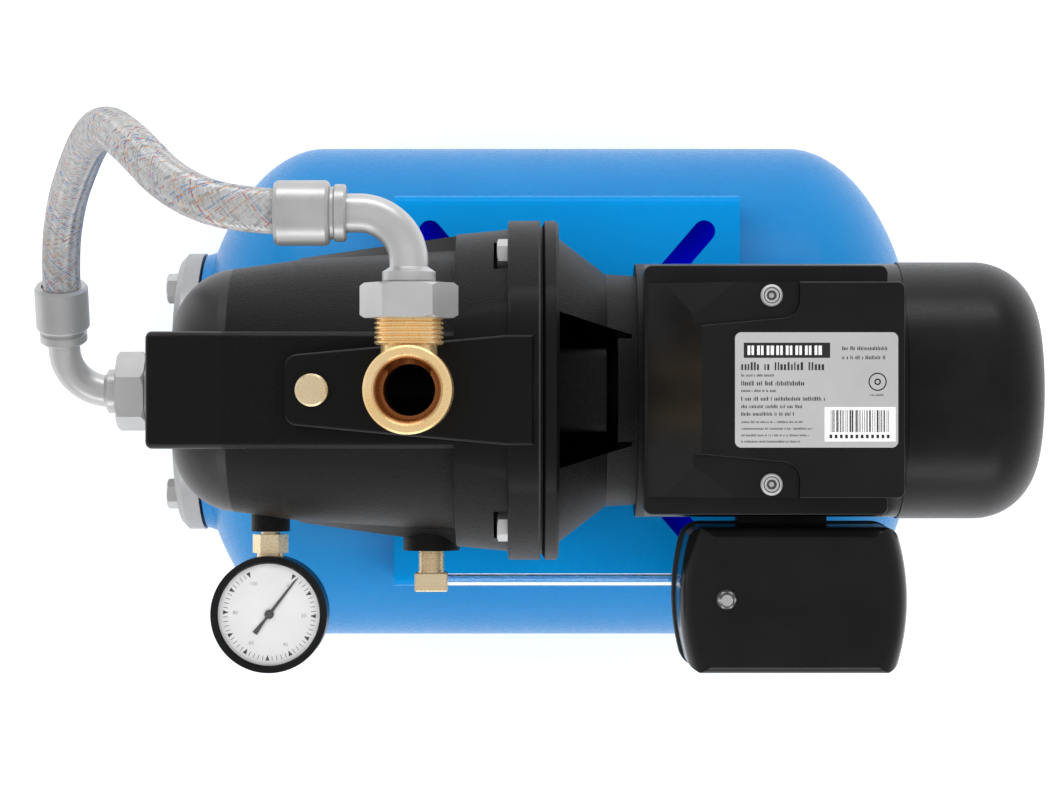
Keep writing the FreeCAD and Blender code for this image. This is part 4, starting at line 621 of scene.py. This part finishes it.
class Flat:
    """Collects flat shapes at one height, one look each, in millimetres."""

    def __init__(self, z):
        self.z = z
        self.points, self.faces, self.picks = [], [], []

    def shape(self, corners, pick=0):
        first = len(self.points)
        self.points += [(x * MM, y * MM, self.z * MM) for x, y in corners]
        self.faces.append(tuple(range(first, first + len(corners))))
        self.picks.append(pick)

    def bar(self, x0, x1, y0, y1, pick=0):
        self.shape([(x0, y0), (x1, y0), (x1, y1), (x0, y1)], pick)

    def ring(self, centre, outer, inner, steps=32):
        for i in range(steps):
            a, b = 360 * i / steps, 360 * (i + 1) / steps
            self.shape([polar(centre, outer, a), polar(centre, outer, b),
                        polar(centre, inner, b), polar(centre, inner, a)])

    def piece(self, name, looks, slot):
        return new_piece(name, self.points, self.faces, looks, smooth=False, picks=self.picks)


GAUGE_CENTRE = (-150.0, -115.3)
DIAL_MARK_Z = 400.36      # just above the dial
DIAL_ZERO = 57.5          # degrees; the scale runs clockwise from here
DIAL_STEP = 30.0          # degrees between long marks
TICKS = 51
TICKS_PER_STEP = 5
# inner and outer radius, then half the angle it covers at each
LONG_TICK = (21.2, 24.0, 0.3, 2.7)
SHORT_TICK = (21.6, 24.0, 0.4, 0.4)
NUMBER_R = 17.6
NUMBER_SIZE = 2.7


def dial_marks():
    """Triangular long marks, thin short ones, and faint numbers at every second long mark."""
    flat = Flat(DIAL_MARK_Z)
    for i in range(TICKS):
        angle = DIAL_ZERO - DIAL_STEP * i / TICKS_PER_STEP
        inner, outer, narrow, wide = SHORT_TICK if i % TICKS_PER_STEP else LONG_TICK
        flat.shape([polar(GAUGE_CENTRE, inner, angle + narrow), polar(GAUGE_CENTRE, inner, angle - narrow),
                    polar(GAUGE_CENTRE, outer, angle - wide), polar(GAUGE_CENTRE, outer, angle + wide)])
    flat.piece("dial_marks", [LOOKS["pointer_black"]], "pointer_black")
    points, faces = [], []
    for i in range(0, 11, 2):
        middle = polar(GAUGE_CENTRE, NUMBER_R, DIAL_ZERO - DIAL_STEP * i)
        digit_points, digit_faces = text_mesh(str(10 * i), middle)
        faces += [tuple(v + len(points) for v in face) for face in digit_faces]
        points += digit_points
    new_piece("dial_numbers", points, faces, [FAINT_INK], smooth=False)


def text_mesh(text, at):
    """A number lying on the dial with its middle at the point."""
    data = bpy.data.curves.new("digits", "FONT")
    data.body = text
    data.size = NUMBER_SIZE * MM
    data.align_x = "CENTER"
    data.align_y = "CENTER"
    data.resolution_u = 3
    points, faces = mesh_of(data)
    return [(x + at[0] * MM, y + at[1] * MM, DIAL_MARK_Z * MM) for x, y, _ in points], faces


LABEL_LEFT, LABEL_TOP = 82.6, 27.7
PRINT_Z = 515.34          # just above the label
UPPER_PRINT_Z = 515.40    # of what lies on the header and on the white patch
INK, WHITE = 0, 1
# left, top, width and height on the label
HEADER = (4.2, 5.0, 41.5, 7.3)
PRINT_LINES = [(3.0, 14.4, 43.0, 3.8), (3.0, 20.0, 17.0, 1.3), (3.0, 23.4, 32.0, 2.2),
               (3.0, 27.4, 18.0, 1.3), (3.0, 31.0, 42.0, 1.9), (3.0, 34.8, 31.0, 1.7),
               (3.0, 38.4, 27.0, 1.7), (3.0, 42.6, 31.0, 1.0), (3.0, 45.8, 35.0, 1.0),
               (3.0, 49.0, 34.0, 1.0), (3.0, 52.0, 29.0, 1.0), (51.5, 6.8, 23.5, 1.8),
               (51.5, 11.2, 23.5, 1.8), (64.5, 29.6, 8.0, 1.0)]
PATCH = (43.0, 35.9, 34.2, 16.6)
RING_AT = (68.5, 23.8)
RINGS = [(4.4, 3.8), (1.6, 0.9)]


def mark(flat, left, top, width, height, pick=INK):
    """A bar placed from the label's upper left corner."""
    flat.bar(LABEL_LEFT + left, LABEL_LEFT + left + width, LABEL_TOP - top - height, LABEL_TOP - top, pick)


def greeked_line(flat, draw, left, top, width, height):
    """Uneven strokes in place of lettering."""
    here = left
    while here < left + width - height:
        stroke = height * draw.uniform(0.16, 0.3)
        drop = height * draw.choice((0.0, 0.25, 0.25))
        mark(flat, here, top + drop, stroke, height - drop)
        here += stroke + height * draw.choice((0.16, 0.16, 0.2, 0.2, 0.2, 0.7))


def patch_bars(flat, draw):
    """Uneven bars with a row of dots under them, which encode nothing."""
    here = 46.0
    while here < 74.0:
        width = draw.choice((0.25, 0.25, 0.5, 0.75))
        mark(flat, here, 37.4, width, 10.6)
        here += width + draw.choice((0.3, 0.3, 0.55, 0.8))
    for i in range(12):
        mark(flat, 45.4 + 2.5 * i, 49.2, 1.3, 1.7)


def header_bars(flat, draw):
    """Pairs of white bars along the header."""
    here = 6.0
    while here < 42.0:
        mark(flat, here, 6.4, 1.3, 4.5, WHITE)
        mark(flat, here + 1.9, 6.4, draw.choice((1.2, 1.6)), 4.5, WHITE)
        here += 4.6


def label_print():
    """Header block, greeked lines, a plain ring and a patch of uneven bars."""
    draw = random.Random(11)
    looks = [LOOKS["pointer_black"], PATCH_WHITE]
    flat = Flat(PRINT_Z)
    mark(flat, *HEADER)
    for line in PRINT_LINES:
        greeked_line(flat, draw, *line)
    for outer, inner in RINGS:
        flat.ring((LABEL_LEFT + RING_AT[0], LABEL_TOP - RING_AT[1]), outer, inner)
    mark(flat, *PATCH, WHITE)
    flat.piece("label_print", looks, "pointer_black")

    flat = Flat(UPPER_PRINT_Z)
    patch_bars(flat, draw)
    header_bars(flat, draw)
    flat.piece("label_bars", looks, "pointer_black")


# ---- build -------------------------------------------------------------------
make_camera()
make_world()
make_floor()
area_light("top_soft", (0.0, 0.0, 2.6), (0, 0, 0.3), (3.0, 3.0), 68, in_gloss=False)
area_light("back_side", (0.0, 1.9, 0.9), (0, 0, 0.4), (2.2, 0.5), 16, on_matt=False)
area_light("front_side", (0.0, -1.9, 0.9), (0, 0, 0.4), (2.2, 0.5), 12, on_matt=False)
bpy.context.scene.view_settings.view_transform = "Standard"
dress_nodes()
make_hose()
make_spring()
dial_marks()
label_print()
